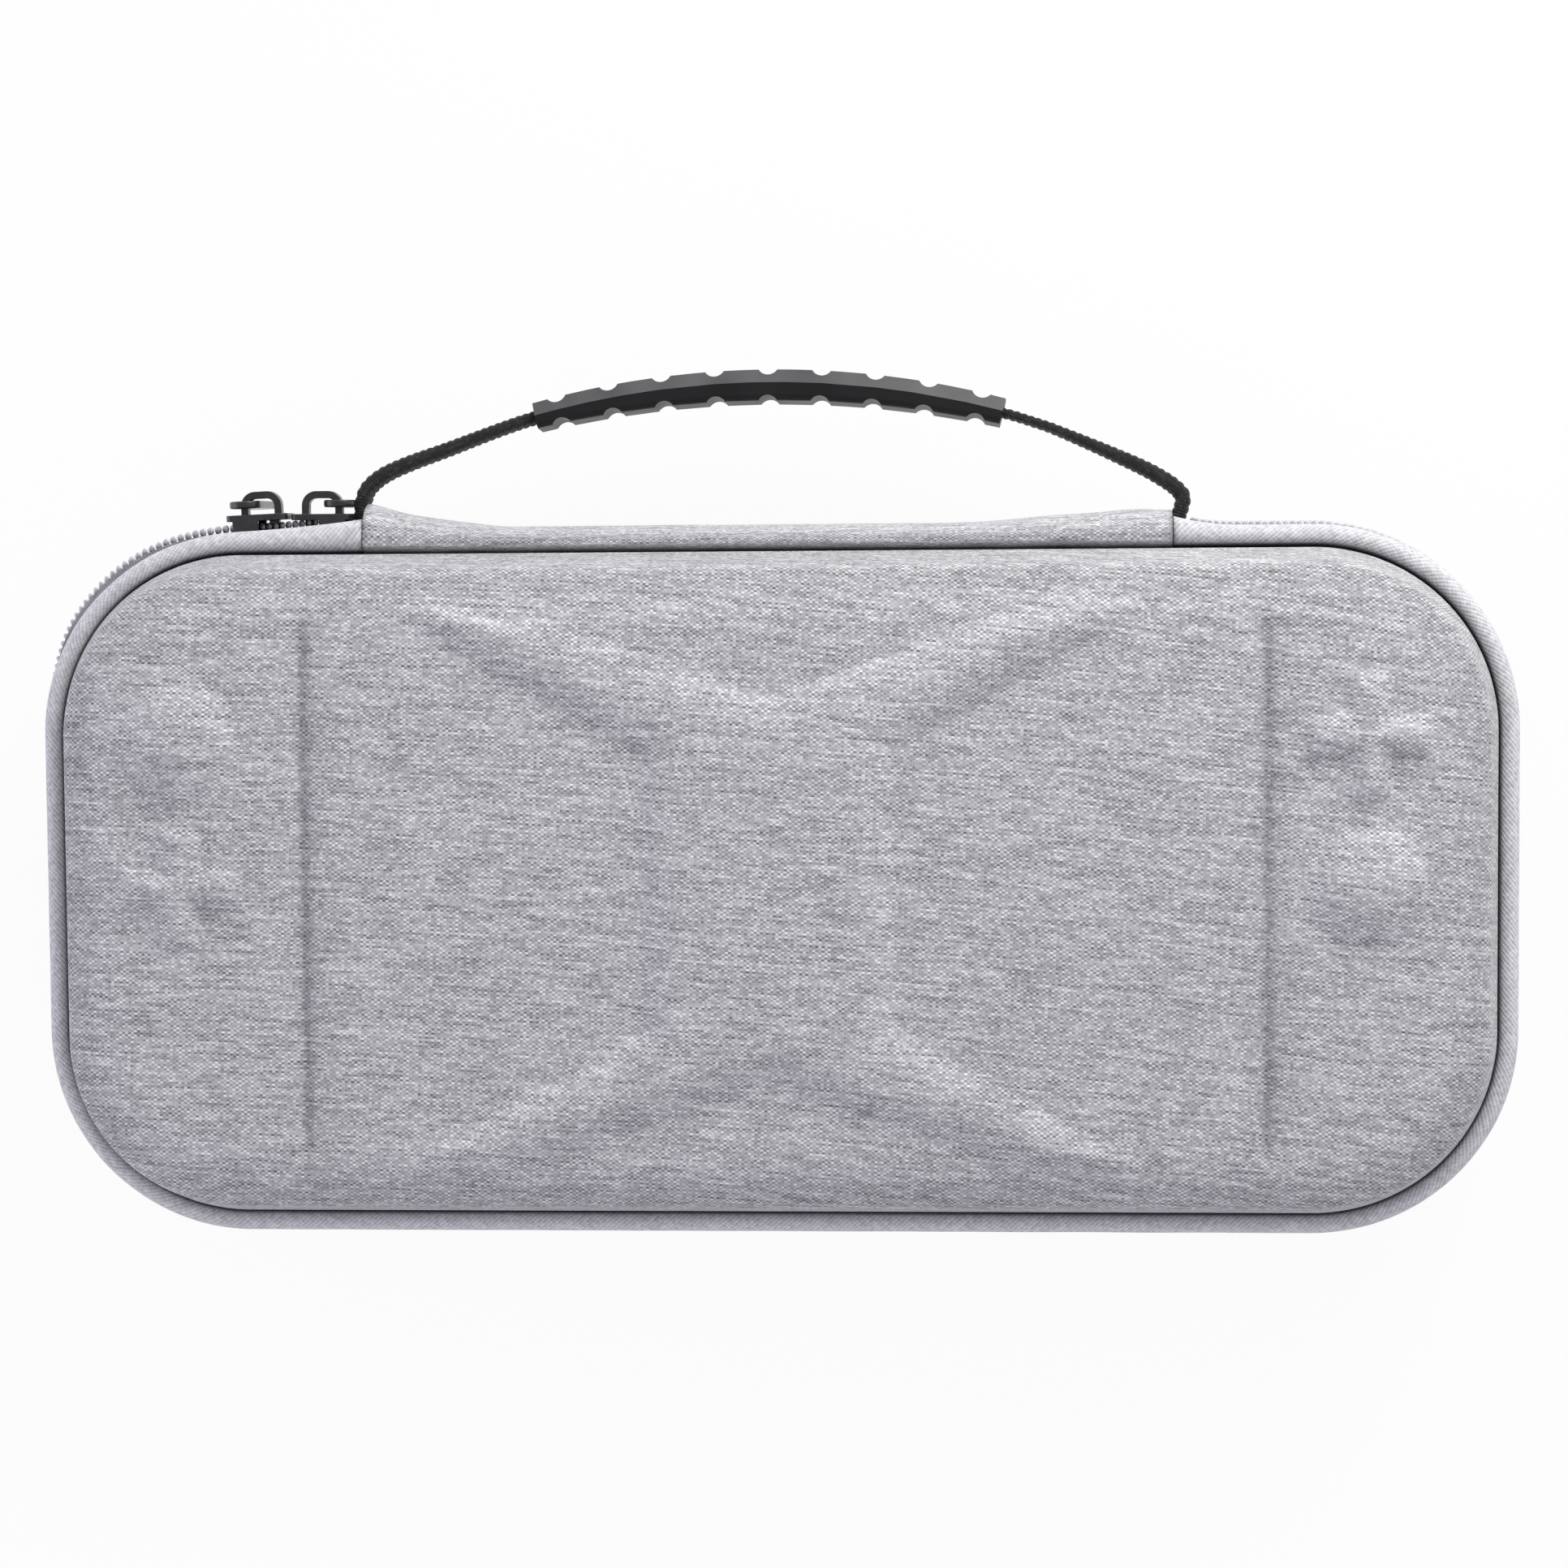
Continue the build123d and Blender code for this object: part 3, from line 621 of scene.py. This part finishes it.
def zip_sway(run):
    """The zip stands out further from the sliders to the next corner, where the slack panel pushes it."""
    back = rim_length - run
    pushed = sway_near + sway_more * smooth_step(*sway_growth, back)
    return bead_flare(run) + pushed * (1 - smooth_step(*sway_fade, back))


def tape_section(low_z):
    """A flat band with square edges, that reaches out to the coil where the zip stands off."""

    def section(share, run):
        corner = round(share * 4) % 4
        out = tape_in + (tape_thickness + zip_sway(run) if corner in (1, 2) else bead_flare(run) / 2)
        return out, low_z + (tape_height if corner in (2, 3) else 0.0)

    return section


def narrow_weave(name, constants, pitches, slub, stops, crevices, bump, warpwise=False):
    """The finish of a woven tape: each yarn has its own tone, and painted shade darkens the crevices between
    yarns.
    """
    material, tree, shader = new_finish(name, constants)
    weave, across, along = woven(tree, *pitches)
    if warpwise:
        tone = yarn_tone(tree, along, weave.outputs["Warp yarn"], *slub)
    else:
        tone = yarn_tone(tree, across, weave.outputs["Weft yarn"], *slub)
    low, high = crevices
    # Painted shade: the colour darkens where the weave is low.
    crevice = add_node(tree, "MapRange", {"Value": weave.outputs["Height"], "To Min": low, "To Max": high})
    colour = mixed(tree, "MULTIPLY", 1.0, tone_ramp(tree, tone, stops), crevice.outputs[0])
    tree.links.new(colour, shader.inputs["Base Color"])
    add_bump(tree, shader, weave.outputs["Height"], *bump)
    return material


tape_weave = narrow_weave(
    "zip_tape_weave",
    {"Roughness": 0.85, "Specular IOR Level": 0.25},
    pitches=(0.0005, 0.00035),
    slub=(0.003, 3.1),
    stops=((0.3, grey(0.25, 0.04)), (0.7, grey(0.42, 0.04))),
    crevices=(0.6, 1.0),
    bump=(0.0001, 0.6),
)

nylon, tree, shader = new_finish("zip_nylon", {"Roughness": 0.38, "Specular IOR Level": 0.5})
place = add_node(tree, "TexCoord").outputs["Object"]
scuff = add_node(tree, "TexNoise", {"Vector": place, "Scale": 700.0, "Detail": 2.0}).outputs["Fac"]
nylon_colour = tone_ramp(tree, scuff, ((0.3, grey(0.46, 0.03)), (0.7, grey(0.66, 0.02))))
tree.links.new(nylon_colour, shader.inputs["Base Color"])
add_bump(tree, shader, scuff, 0.00005, 0.4)

for half, body, side, low_z in (
    ("front", "lid", 1, mid_z + tape_edge_gap),
    ("back", "base", -1, back_rim_z),
):
    mesh = new_cloth()
    tape_stop = rim_length - binding_gap
    along_rim(mesh, binding_gap, tape_stop, zip_step, tape_section(low_z), 4, 2 * tape_height)
    tape = add_piece(f"{half}_tape", mesh, tape_weave)
    tape.data.set_sharp_from_angle(angle=radians(40))
    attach(tape, body)
    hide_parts(f"{half}_zip_tape")

    mesh = bmesh.new()
    elements = round((rim_length - 2 * zip_end_gap) / coil_pitch)
    for element in range(elements):
        run = zip_end_gap + (element + 0.25 * (1 + side)) * coil_pitch
        spot, outward = rim_spot(run, coil_in + coil_thickness / 2 + zip_sway(run))
        heading = Vector((outward.y, -outward.x))
        middle_z = mid_z + side * (coil_height - coil_lap) / 2
        turned = Matrix((
            (heading.x, outward.x, 0, spot.x),
            (heading.y, outward.y, 0, spot.y),
            (0, 0, 1, middle_z),
            (0, 0, 0, 1),
        ))
        stretched = Matrix.Diagonal((coil_half_length, coil_thickness / 2, (coil_height + coil_lap) / 2, 1))
        laid = turned @ Matrix.Rotation(coil_lean, 4, "Y") @ stretched
        bmesh.ops.create_uvsphere(mesh, u_segments=8, v_segments=5, radius=1, matrix=laid)
    coil = add_piece(f"{half}_coil", mesh, nylon)
    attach(coil, body)
    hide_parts(f"{half}_zip_coil")

# Hinge panel. One piece of the heather cloth joins both halves on the handle side, sewn along both rims.
# It is slack, so it stands off the wall, most at its left end, and it bends when the lid opens.
panel_shift = (panel_low.x + panel_high.x) / 2
panel_half_length = (panel_high.x - panel_low.x) / 2
panel_half_height = 0.0097
panel_crest_out = 0.0019
panel_rises = {"left": 0.0087, "middle": 0.0047, "right": 0.0068}
panel_left_share = 0.40
panel_left_power = 1.8
panel_right_span = (0.45, 0.95)
panel_pucker = 0.00022
panel_squareness = 2 / 3
panel_inner_room = 0.0003
# Painted shade on the hinge panel: the half by each seam darkens as the cloth rolls into the crevice. Close to
# each seam it goes near black for the seam line and the crevice's shade, and the ends are darkened where they
# fold down into the binding.
panel_shade = 0.26
panel_shade_band = (0.40, 0.8)
panel_seam_and_shade_band = (0.80, 0.93)
panel_end_shade = 0.5
panel_end_band = (0.985, 0.995)
panel_turn = radians(160)
panel_girth = 0.043


def panel_out(share):
    """How far the slack cloth stands off the wall, from -1 at the left end to 1 at the right."""
    if share < 0:
        lifted = max(1 + (-share - 1) / panel_left_share, 0.0) ** panel_left_power
        return panel_rises["middle"] + (panel_rises["left"] - panel_rises["middle"]) * lifted
    lifted = smooth_step(*panel_right_span, share)
    return panel_rises["middle"] + (panel_rises["right"] - panel_rises["middle"]) * lifted


def panel_place(across, along):
    """The cloth goes from the back crevice over its crest, outwards and round to the front crevice."""
    share = 2 * across - 1
    angle = (2 * along - 1) * panel_turn
    pucker = panel_pucker * noise.noise(Vector((share * 9, along * 3, 4.0))) * (0.4 + share * share)
    standing = panel_out(share) - panel_crest_out if cos(angle) > 0 else panel_crest_out + panel_inner_room
    out = panel_crest_out + (standing + pucker) * squared(cos(angle), panel_squareness)
    height = panel_half_height * squared(sin(angle), panel_squareness)
    x = panel_shift + share * panel_half_length
    # Painted shade towards each seam and at the folded ends, with the dark seam line at the edges.
    seam = abs(2 * along - 1)
    seam_and_shade = (1 - panel_shade) * smooth_step(*panel_seam_and_shade_band, seam)
    sewn = panel_shade * smooth_step(*panel_shade_band, seam) + seam_and_shade
    sewn = max(sewn, panel_end_shade * smooth_step(*panel_end_band, abs(share)))
    return Vector((x, half_width + out, mid_z + height)), (x, along * panel_girth), sewn


mesh = new_cloth()
cloth_patch(mesh, 160, 44, panel_place)
hinge = add_piece("hinge_cloth", mesh, heather)
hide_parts("hinge_panel")
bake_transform(hinge, "base", "lid", start=(0, half_width, mid_z - 0.005), end=(0, half_width, mid_z + 0.005))

# Sliders and pulls. Die-cast zinc in black enamel: two wings joined by a neck, an arched bridge, and a
# flat tab that hangs from the bridge by its eye.


def softened(name, node, width, segments, material):
    """A copy of a node with its edges rounded off as casting and tumbling leave them."""
    mesh = bmesh.new()
    mesh.from_mesh(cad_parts[node].data)
    bmesh.ops.remove_doubles(mesh, verts=mesh.verts, dist=0.00001)
    bmesh.ops.dissolve_limit(mesh, angle_limit=radians(1), verts=mesh.verts, edges=mesh.edges)
    sharp = [edge for edge in mesh.edges if edge.is_manifold and edge.calc_face_angle() > radians(24)]
    bmesh.ops.bevel(
        mesh,
        geom=sharp,
        offset=width,
        offset_type="OFFSET",
        affect="EDGES",
        segments=segments,
        profile=0.5,
        material=-1,
        clamp_overlap=True,
    )
    piece = add_piece(name, mesh, material)
    normals = [Vector() for vert in piece.data.vertices]
    for face in piece.data.polygons:
        for index in face.vertices:
            normals[index] += face.normal * face.area
    piece.data.normals_split_custom_set_from_vertices([normal.normalized() for normal in normals])
    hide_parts(node)
    return piece


enamel, tree, shader = new_finish(
    "black_enamel",
    {"Roughness": 0.32, "Specular IOR Level": 0.5, "Coat Weight": 0.3, "Coat Roughness": 0.2},
)
place = add_node(tree, "TexCoord").outputs["Object"]
flow = add_node(tree, "TexNoise", {"Vector": place, "Scale": 500.0, "Detail": 3.0}).outputs["Fac"]
tree.links.new(tone_ramp(tree, flow, ((0.3, grey(0.010)), (0.7, grey(0.022)))), shader.inputs["Base Color"])
gloss = add_node(tree, "MapRange", {"Value": flow, "To Min": 0.22, "To Max": 0.45})
tree.links.new(gloss.outputs[0], shader.inputs["Roughness"])
add_bump(tree, shader, flow, 0.00006, 0.3)

for side in ("left", "right"):
    slider = softened(f"{side}_slider_casting", f"{side}_slider", 0.00042, 3, enamel)
    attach(slider, f"{side}_slider")
    pull = softened(f"{side}_pull_tab", f"{side}_pull", 0.0003, 3, enamel)
    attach(pull, f"{side}_pull")

# Handle. A narrow black strap of ribbed webbing, sewn in at both ends of the hinge panel, runs through a
# moulded rubber grip with half-round notches for the fingers.
pivot = Vector((panel_shift, half_width + 0.0074, mid_z - 0.0035))
handle_droop = radians(4)
handle_out = Vector((0, cos(handle_droop), -sin(handle_droop)))
handle_up = Vector((0, sin(handle_droop), cos(handle_droop)))
webbing_half_width = 0.0025
webbing_half_thickness = 0.00098
webbing_rib_pitch = 0.0013
webbing_rib_rise = 0.00022
webbing_slim_left = 0.97
webbing_slim_right = 0.68
webbing_stout = 1.22
webbing_swell = (0.046, 0.072)
webbing_girth = 0.013
grip_reach = 0.0218
grip_radius = 0.173
grip_half_angle = radians(13.9)
# Tilts at which the grip's upper outer bevel takes the painted highlight.
highlight_tilt = (0.30, 0.45)
left_run = (
    (-0.0731, -0.0045),
    (-0.0731, 0.0005),
    (-0.0721, 0.0042),
    (-0.0680, 0.0073),
    (-0.0568, 0.0115),
    (-0.0475, 0.0149),
)
right_run = (
    (0.0475, 0.0149),
    (0.0508, 0.0137),
    (0.0618, 0.0089),
    (0.0690, 0.0053),
    (0.0731, 0.0020),
    (0.0730, -0.0004),
    (0.0714, -0.0045),
)
grip_run = []
for step in range(-3, 4):
    turn = grip_half_angle * step / 3
    grip_run.append((grip_radius * sin(turn), grip_reach - grip_radius * (1 - cos(turn))))
webbing_knots = [Vector((*knot, 0)) for knot in (*left_run, *grip_run, *right_run)]
webbing_line = []
for index in range(len(webbing_knots) - 1):
    first, second = webbing_knots[index], webbing_knots[index + 1]
    before = webbing_knots[max(index - 1, 0)]
    after = webbing_knots[min(index + 2, len(webbing_knots) - 1)]
    span = (second - first).length
    leave = first + (second - before).normalized() * span / 3
    reach = second - (after - first).normalized() * span / 3
    webbing_line.extend(geometry.interpolate_bezier(first, leave, reach, second, 24)[:-1])
webbing_line.append(webbing_knots[-1])
webbing_runs = [0.0]
for first, second in zip(webbing_line, webbing_line[1:]):
    webbing_runs.append(webbing_runs[-1] + (second - first).length)


def webbing_spot(run):
    """The place and heading on the strap's middle line after that run from its left end."""
    index = max(i for i, length in enumerate(webbing_runs[:-1]) if length <= run + 1e-9)
    first, second = webbing_line[index], webbing_line[index + 1]
    share = (run - webbing_runs[index]) / (webbing_runs[index + 1] - webbing_runs[index])
    return first.lerp(second, share), (second - first).normalized()


def webbing_place(across, along):
    """A flattened round section with ribs across the strap."""
    run = across * webbing_runs[-1]
    spot, heading = webbing_spot(min(run, webbing_runs[-1] - 1e-7))
    angle = 2 * pi * along
    rib = webbing_rib_rise * abs(sin(pi * run / webbing_rib_pitch + (pi / 2 if sin(angle) > 0 else 0)))
    slim = webbing_slim_left if spot.x < 0 else webbing_slim_right
    stout = slim + (webbing_stout - slim) * smooth_step(*webbing_swell, abs(spot.x))
    thick = (webbing_half_thickness * stout + rib) * squared(sin(angle), 0.6)
    wide = webbing_half_width * squared(cos(angle), 0.5)
    side = Vector((-heading.y, heading.x, 0))
    flat = spot + side * thick
    at = pivot + Vector((flat.x, 0, 0)) + handle_out * flat.y + handle_up * wide
    return at, (run, along * webbing_girth), 0.0


webbing = narrow_weave(
    "black_webbing_weave",
    {"Roughness": 0.8, "Specular IOR Level": 0.35, "Sheen Weight": 0.2, "Sheen Roughness": 0.4},
    pitches=(0.00055, 0.0005),
    slub=(0.0012, 3.3),
    stops=((0.3, grey(0.010)), (0.5, grey(0.018)), (0.72, grey(0.042))),
    crevices=(0.5, 1.1),
    bump=(0.00015, 0.8),
)

mesh = new_cloth()
verts = cloth_patch(mesh, 1040, 20, webbing_place)
bmesh.ops.remove_doubles(mesh, verts=verts, dist=0.000001)
bmesh.ops.holes_fill(mesh, edges=[edge for edge in mesh.edges if edge.is_boundary])
strap = add_piece("handle_strap", mesh, webbing)
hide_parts("handle_webbing")
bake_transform(strap, "base", "handle", start=(0, pivot.y - 0.002, pivot.z), end=(0, pivot.y + 0.0035, pivot.z))

rubber, tree, shader = new_finish("grip_rubber", {"Roughness": 0.40, "Specular IOR Level": 0.30})
place = add_node(tree, "TexCoord").outputs["Object"]
grain = add_node(tree, "TexNoise", {"Vector": place, "Scale": 1800.0, "Detail": 2.0}).outputs["Fac"]
smudge = add_node(tree, "TexNoise", {"Vector": place, "Scale": 90.0, "Detail": 2.0}).outputs["Fac"]
# Painted highlight: the upper outer bevel of the grip, which faces the key lamp, is given a lighter grey than
# the rest of the rubber.
painted_highlight_share = add_node(tree, "Attribute", attribute_name="painted_highlight").outputs["Fac"]
rubber_colour = tone_ramp(tree, smudge, ((0.3, grey(0.004)), (0.7, grey(0.007))))
highlight_colour = tone_ramp(tree, smudge, ((0.3, grey(0.060)), (0.7, grey(0.095))))
tree.links.new(mixed(tree, "MIX", painted_highlight_share, rubber_colour, highlight_colour), shader.inputs["Base Color"])
dullness = add_node(tree, "MapRange", {"Value": smudge, "To Min": 0.36, "To Max": 0.52})
tree.links.new(dullness.outputs[0], shader.inputs["Roughness"])
add_bump(tree, shader, grain, 0.00006, 0.35)
grip = softened("rubber_grip", "handle_grip", 0.00022, 2, rubber)
painted_highlight = grip.data.attributes.new("painted_highlight", "FLOAT", "FACE")
# Faces turned both outwards and upwards get the painted highlight.
for face in grip.data.polygons:
    outwards = smooth_step(*highlight_tilt, face.normal.dot(handle_out))
    painted_highlight.data[face.index].value = outwards * smooth_step(*highlight_tilt, face.normal.dot(handle_up))
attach(grip, "handle")

# Inner trims. A dark woven tape folded over the sewn edge inside each rim, stitched all round.
trim_thickness = 0.0012
trim_height = 0.0030
trim_step = 0.002


def trim_section(low_z):
    """A flat tape with rounded edges, against the inner wall."""

    def section(share, run):
        angle = 2 * pi * share
        out = -shell_wall - trim_thickness / 2 + trim_thickness / 2 * squared(cos(angle), 0.5)
        return out, low_z + trim_height / 2 + trim_height / 2 * squared(sin(angle), 0.5)

    return section


trim_tape = narrow_weave(
    "trim_tape",
    {"Roughness": 0.85, "Specular IOR Level": 0.3, "Sheen Weight": 0.2},
    pitches=(0.0007, 0.0005),
    slub=(0.004, 2.7),
    stops=((0.3, grey(0.012)), (0.7, grey(0.028))),
    crevices=(0.6, 1.1),
    bump=(0.00012, 0.7),
)

panel_stretch = panel_high.x - panel_low.x
for half, body, low_z in (("front", "lid", front_rim_z), ("back", "base", back_rim_z - trim_height)):
    mesh = new_cloth()
    along_rim(mesh, -panel_stretch, rim_length, trim_step, trim_section(low_z), 12, 2 * trim_height)
    trim = add_piece(f"{half}_trim_tape", mesh, trim_tape)
    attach(trim, body)
    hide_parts(f"{half}_inner_trim")

# Hold-down strap. Two elastic bands are sewn under the trim on either side of the back half and close over
# the console with hook and loop.


def flat_band(mesh, low, high, columns, rows):
    """A closed flat pad between two corners, rounded at its long edges."""
    middle_z = (low.z + high.z) / 2
    half_z = (high.z - low.z) / 2
    half_x = (high.x - low.x) / 2

    def place(across, along):
        y = low.y + (high.y - low.y) * along
        angle = 2 * pi * across
        x = (low.x + high.x) / 2 + half_x * squared(cos(angle), 0.35)
        z = middle_z + half_z * squared(sin(angle), 0.5)
        return Vector((x, y, z)), (x, y), 0.0

    verts = cloth_patch(mesh, columns, rows, place)
    bmesh.ops.remove_doubles(mesh, verts=verts, dist=0.000001)
    bmesh.ops.holes_fill(mesh, edges=[edge for edge in mesh.edges if edge.is_boundary])


elastic = narrow_weave(
    "black_elastic",
    {"Roughness": 0.8, "Specular IOR Level": 0.3, "Sheen Weight": 0.2},
    pitches=(0.0012, 0.0006),
    slub=(0.005, 3.9),
    stops=((0.3, grey(0.010)), (0.7, grey(0.026))),
    crevices=(0.5, 1.1),
    bump=(0.0002, 0.8),
    warpwise=True,
)

for half in ("loop", "hook"):
    low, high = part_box(f"strap_{half}_half")
    mesh = new_cloth()
    flat_band(mesh, low, high, 48, 60)
    band = add_piece(f"{half}_band", mesh, elastic)
    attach(band, "base")
    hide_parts(f"strap_{half}_half")

# Divider. A thin padded board covered in lining and sewn to the trim on the hinge side. It carries two rows
# of net pockets for game cards, each with a bound mouth.
flap_low, flap_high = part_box("card_flap")
flap_corner = 0.024
flap_edge = 0.0012
pocket_low, pocket_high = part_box("card_pockets")
pocket_pitch_x = 0.037
pocket_pitch_y = 0.042
pocket_width = 0.028
pocket_height = 0.034
pocket_corner = 0.003
pocket_edge = 0.0008
net_pitch = 0.0022


def row_reach(y, half_x, half_y, corner):
    """Half the width of a rounded rectangle at a height from its middle."""
    over = max(abs(y) - (half_y - corner), 0.0)
    return half_x - corner + sqrt(max(corner * corner - over * over, 0.0))


def padded_board(mesh, middle, half_x, half_y, corner, low_z, high_z, edge, columns, rows):
    """A closed pad with a rounded outline, full in the middle and drawn in along its edge."""
    middle_z = (low_z + high_z) / 2
    half_z = (high_z - low_z) / 2

    def skin(side):
        def place(across, along):
            y = (2 * along - 1) * half_y
            reach = row_reach(y, half_x, half_y, corner)
            x = (2 * across - 1) * reach
            inside = max(min(reach - abs(x), half_y - abs(y)), 0.0)
            fullness = sqrt(1 - (1 - min(inside / edge, 1.0)) ** 2)
            spot = Vector((middle.x + x, middle.y + y, middle_z + side * half_z * fullness))
            return spot, (spot.x, spot.y), 0.0

        return place

    verts = cloth_patch(mesh, columns, rows, skin(1)) + cloth_patch(mesh, columns, rows, skin(-1))
    bmesh.ops.remove_doubles(mesh, verts=verts, dist=0.000002)


net_cloth, tree, shader = new_finish("black_net", {"Roughness": 0.7, "Specular IOR Level": 0.3})
cloth = add_node(tree, "UVMap", uv_map="cloth").outputs["UV"]
axes = add_node(tree, "SeparateXYZ", {0: cloth})
cords = []
for crossing_way in ("ADD", "SUBTRACT"):
    diagonal = maths(tree, crossing_way, axes.outputs["X"], axes.outputs["Y"])
    cord_wave = maths(tree, "SINE", maths(tree, "MULTIPLY", diagonal, pi / net_pitch))
    cords.append(maths(tree, "ABSOLUTE", cord_wave))
opening = maths(tree, "MINIMUM", *cords)
cord_share = add_node(tree, "MapRange", {"Value": opening, "From Min": 0.5, "From Max": 0.42})
twist = add_node(tree, "TexNoise", {"Vector": cloth, "Scale": 1500.0, "Detail": 1.0}).outputs["Fac"]
tree.links.new(tone_ramp(tree, twist, ((0.3, grey(0.012)), (0.7, grey(0.03)))), shader.inputs["Base Color"])
tree.links.new(cord_share.outputs[0], shader.inputs["Alpha"])
add_bump(tree, shader, opening, -0.0003, 0.6)

mesh = new_cloth()
padded_board(
    mesh,
    (flap_low + flap_high) / 2,
    (flap_high.x - flap_low.x) / 2,
    (flap_high.y - flap_low.y) / 2,
    flap_corner,
    flap_low.z,
    flap_high.z,
    flap_edge,
    200,
    100,
)
divider = add_piece("padded_divider", mesh, lining_cloth)
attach(divider, "base")
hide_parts("card_flap")

mesh = new_cloth()
for column in range(5):
    for row in range(2):
        middle = (pocket_low + pocket_high) / 2
        middle.x += (column - 2) * pocket_pitch_x
        middle.y += (row - 0.5) * pocket_pitch_y
        padded_board(
            mesh,
            middle,
            pocket_width / 2,
            pocket_height / 2,
            pocket_corner,
            pocket_low.z,
            pocket_high.z,
            pocket_edge,
            28,
            34,
        )
pockets = add_piece("card_net_pockets", mesh, trim_tape)
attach(pockets, "base")
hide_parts("card_pockets")

# Net pocket. A stretched net closes the front half behind its trim, with an elastic hem along the mouth on
# the hinge side.
net_low, net_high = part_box("mesh_pocket")
hem_low, hem_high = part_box("mesh_hem")
net_corner = corner_radius - shell_wall
net_half_y = -net_low.y
net_sag = 0.0006


def net_place(across, along):
    """A flat sheet inside the trim, that sags a little towards the lid."""
    y = net_low.y + (net_high.y - net_low.y) * along
    x = (2 * across - 1) * row_reach(y, net_high.x, net_half_y, net_corner)
    belly = net_sag * sin(pi * across) * sin(pi * along)
    return Vector((x, y, (net_low.z + net_high.z) / 2 + belly)), (x, y), 0.0


mesh = new_cloth()
cloth_patch(mesh, 120, 48, net_place)
net = add_piece("lid_net", mesh, net_cloth)
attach(net, "lid")
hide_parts("mesh_pocket")


def hem_place(across, along):
    """A rounded elastic tape along the net's mouth, with shallow gathers."""
    angle = 2 * pi * along
    y = (hem_low.y + hem_high.y) / 2 + (hem_high.y - hem_low.y) / 2 * squared(cos(angle), 0.4)
    x = (2 * across - 1) * row_reach(y, net_high.x, net_half_y, net_corner)
    half_z = (hem_high.z - hem_low.z) / 2
    gathered = 0.92 + 0.08 * sin(x * 2200)
    z = hem_low.z + half_z + half_z * squared(sin(angle), 0.5) * gathered
    return Vector((x, y, z)), (x, y), 0.0


mesh = new_cloth()
verts = cloth_patch(mesh, 260, 24, hem_place)
bmesh.ops.remove_doubles(mesh, verts=verts, dist=0.000001)
bmesh.ops.holes_fill(mesh, edges=[edge for edge in mesh.edges if edge.is_boundary])
hem = add_piece("net_hem", mesh, elastic)
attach(hem, "lid")
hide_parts("mesh_hem")

# Floor, light and camera. A white sweep that only keeps a faint shadow, one large soft lamp over the handle
# side, a weak cool one from the left, and light from all round that is stronger near the horizon.
floor_drop = 0.0003
floor_glow = 0.93
floor_mesh = bmesh.new()
bmesh.ops.create_grid(floor_mesh, x_segments=1, y_segments=1, size=3.0)
bmesh.ops.translate(floor_mesh, verts=floor_mesh.verts, vec=(0, 0, -floor_drop))
white_floor = bpy.data.materials.new("white_floor")
white_floor.use_nodes = True
tree = white_floor.node_tree
tree.nodes.clear()
paper = add_node(tree, "BsdfDiffuse", {"Color": (0.9, 0.9, 0.9, 1)})
glow = add_node(tree, "Emission", {"Color": (1, 1, 1, 1), "Strength": 1.0})
rays = add_node(tree, "LightPath")
seen_through = maths(tree, "MAXIMUM", rays.outputs["Is Glossy Ray"], rays.outputs["Is Transmission Ray"])
seen = maths(tree, "MAXIMUM", rays.outputs["Is Camera Ray"], seen_through)
seen_white = maths(tree, "MULTIPLY", seen, floor_glow)
blend = add_node(tree, "MixShader", {0: seen_white, 1: paper.outputs[0], 2: glow.outputs[0]})
add_node(tree, "OutputMaterial", {0: blend.outputs[0]})
floor = add_piece("white_floor", floor_mesh, white_floor)


def soft_lamp(name, azimuth, zenith, distance, size, energy, colour):
    """A round area lamp aimed at the case. Azimuth runs from the handle side to the right."""
    aim = Vector((0, 0, 0.03))
    towards = Vector((sin(azimuth) * sin(zenith), cos(azimuth) * sin(zenith), cos(zenith)))
    data = bpy.data.lights.new(name, "AREA")
    data.shape = "DISK"
    data.size = size
    data.energy = energy
    data.color = colour
    lamp = bpy.data.objects.new(name, data)
    lamp.location = aim + towards * distance
    lamp.rotation_euler = towards.to_track_quat("Z", "Y").to_euler()
    bpy.context.collection.objects.link(lamp)


soft_lamp(
    "soft_key",
    azimuth=radians(26),
    zenith=radians(66),
    distance=0.62,
    size=0.40,
    energy=2.8,
    colour=(1.0, 0.995, 0.97),
)
soft_lamp(
    "soft_fill",
    azimuth=radians(268),
    zenith=radians(76),
    distance=0.60,
    size=0.40,
    energy=0.50,
    colour=(0.86, 0.83, 1.0),
)

world = bpy.data.worlds.new("even_light")
world.use_nodes = True
tree = world.node_tree
sky_axes = add_node(tree, "SeparateXYZ", {0: add_node(tree, "TexCoord").outputs["Generated"]})
sky_level = add_node(
    tree,
    "MapRange",
    {"Value": sky_axes.outputs["Z"], "From Min": 0.0, "From Max": 0.85, "To Min": 1.16, "To Max": 0.58},
    interpolation_type="SMOOTHSTEP",
)
sky = tree.nodes["Background"]
sky.inputs["Color"].default_value = (0.92, 0.905, 1.0, 1)
tree.links.new(sky_level.outputs[0], sky.inputs["Strength"])
bpy.context.scene.world = world

camera_data = bpy.data.cameras.new("view")
camera_data.sensor_width = 36.0
camera_data.lens = 85.08
camera = bpy.data.objects.new("view", camera_data)
camera.location = (0.0430, 0.0603, 0.6803)
camera.rotation_euler = (-0.06645682, 0.06280906, -0.00799260)
bpy.context.collection.objects.link(camera)
bpy.context.scene.camera = camera
bpy.context.scene.view_settings.view_transform = "Standard"
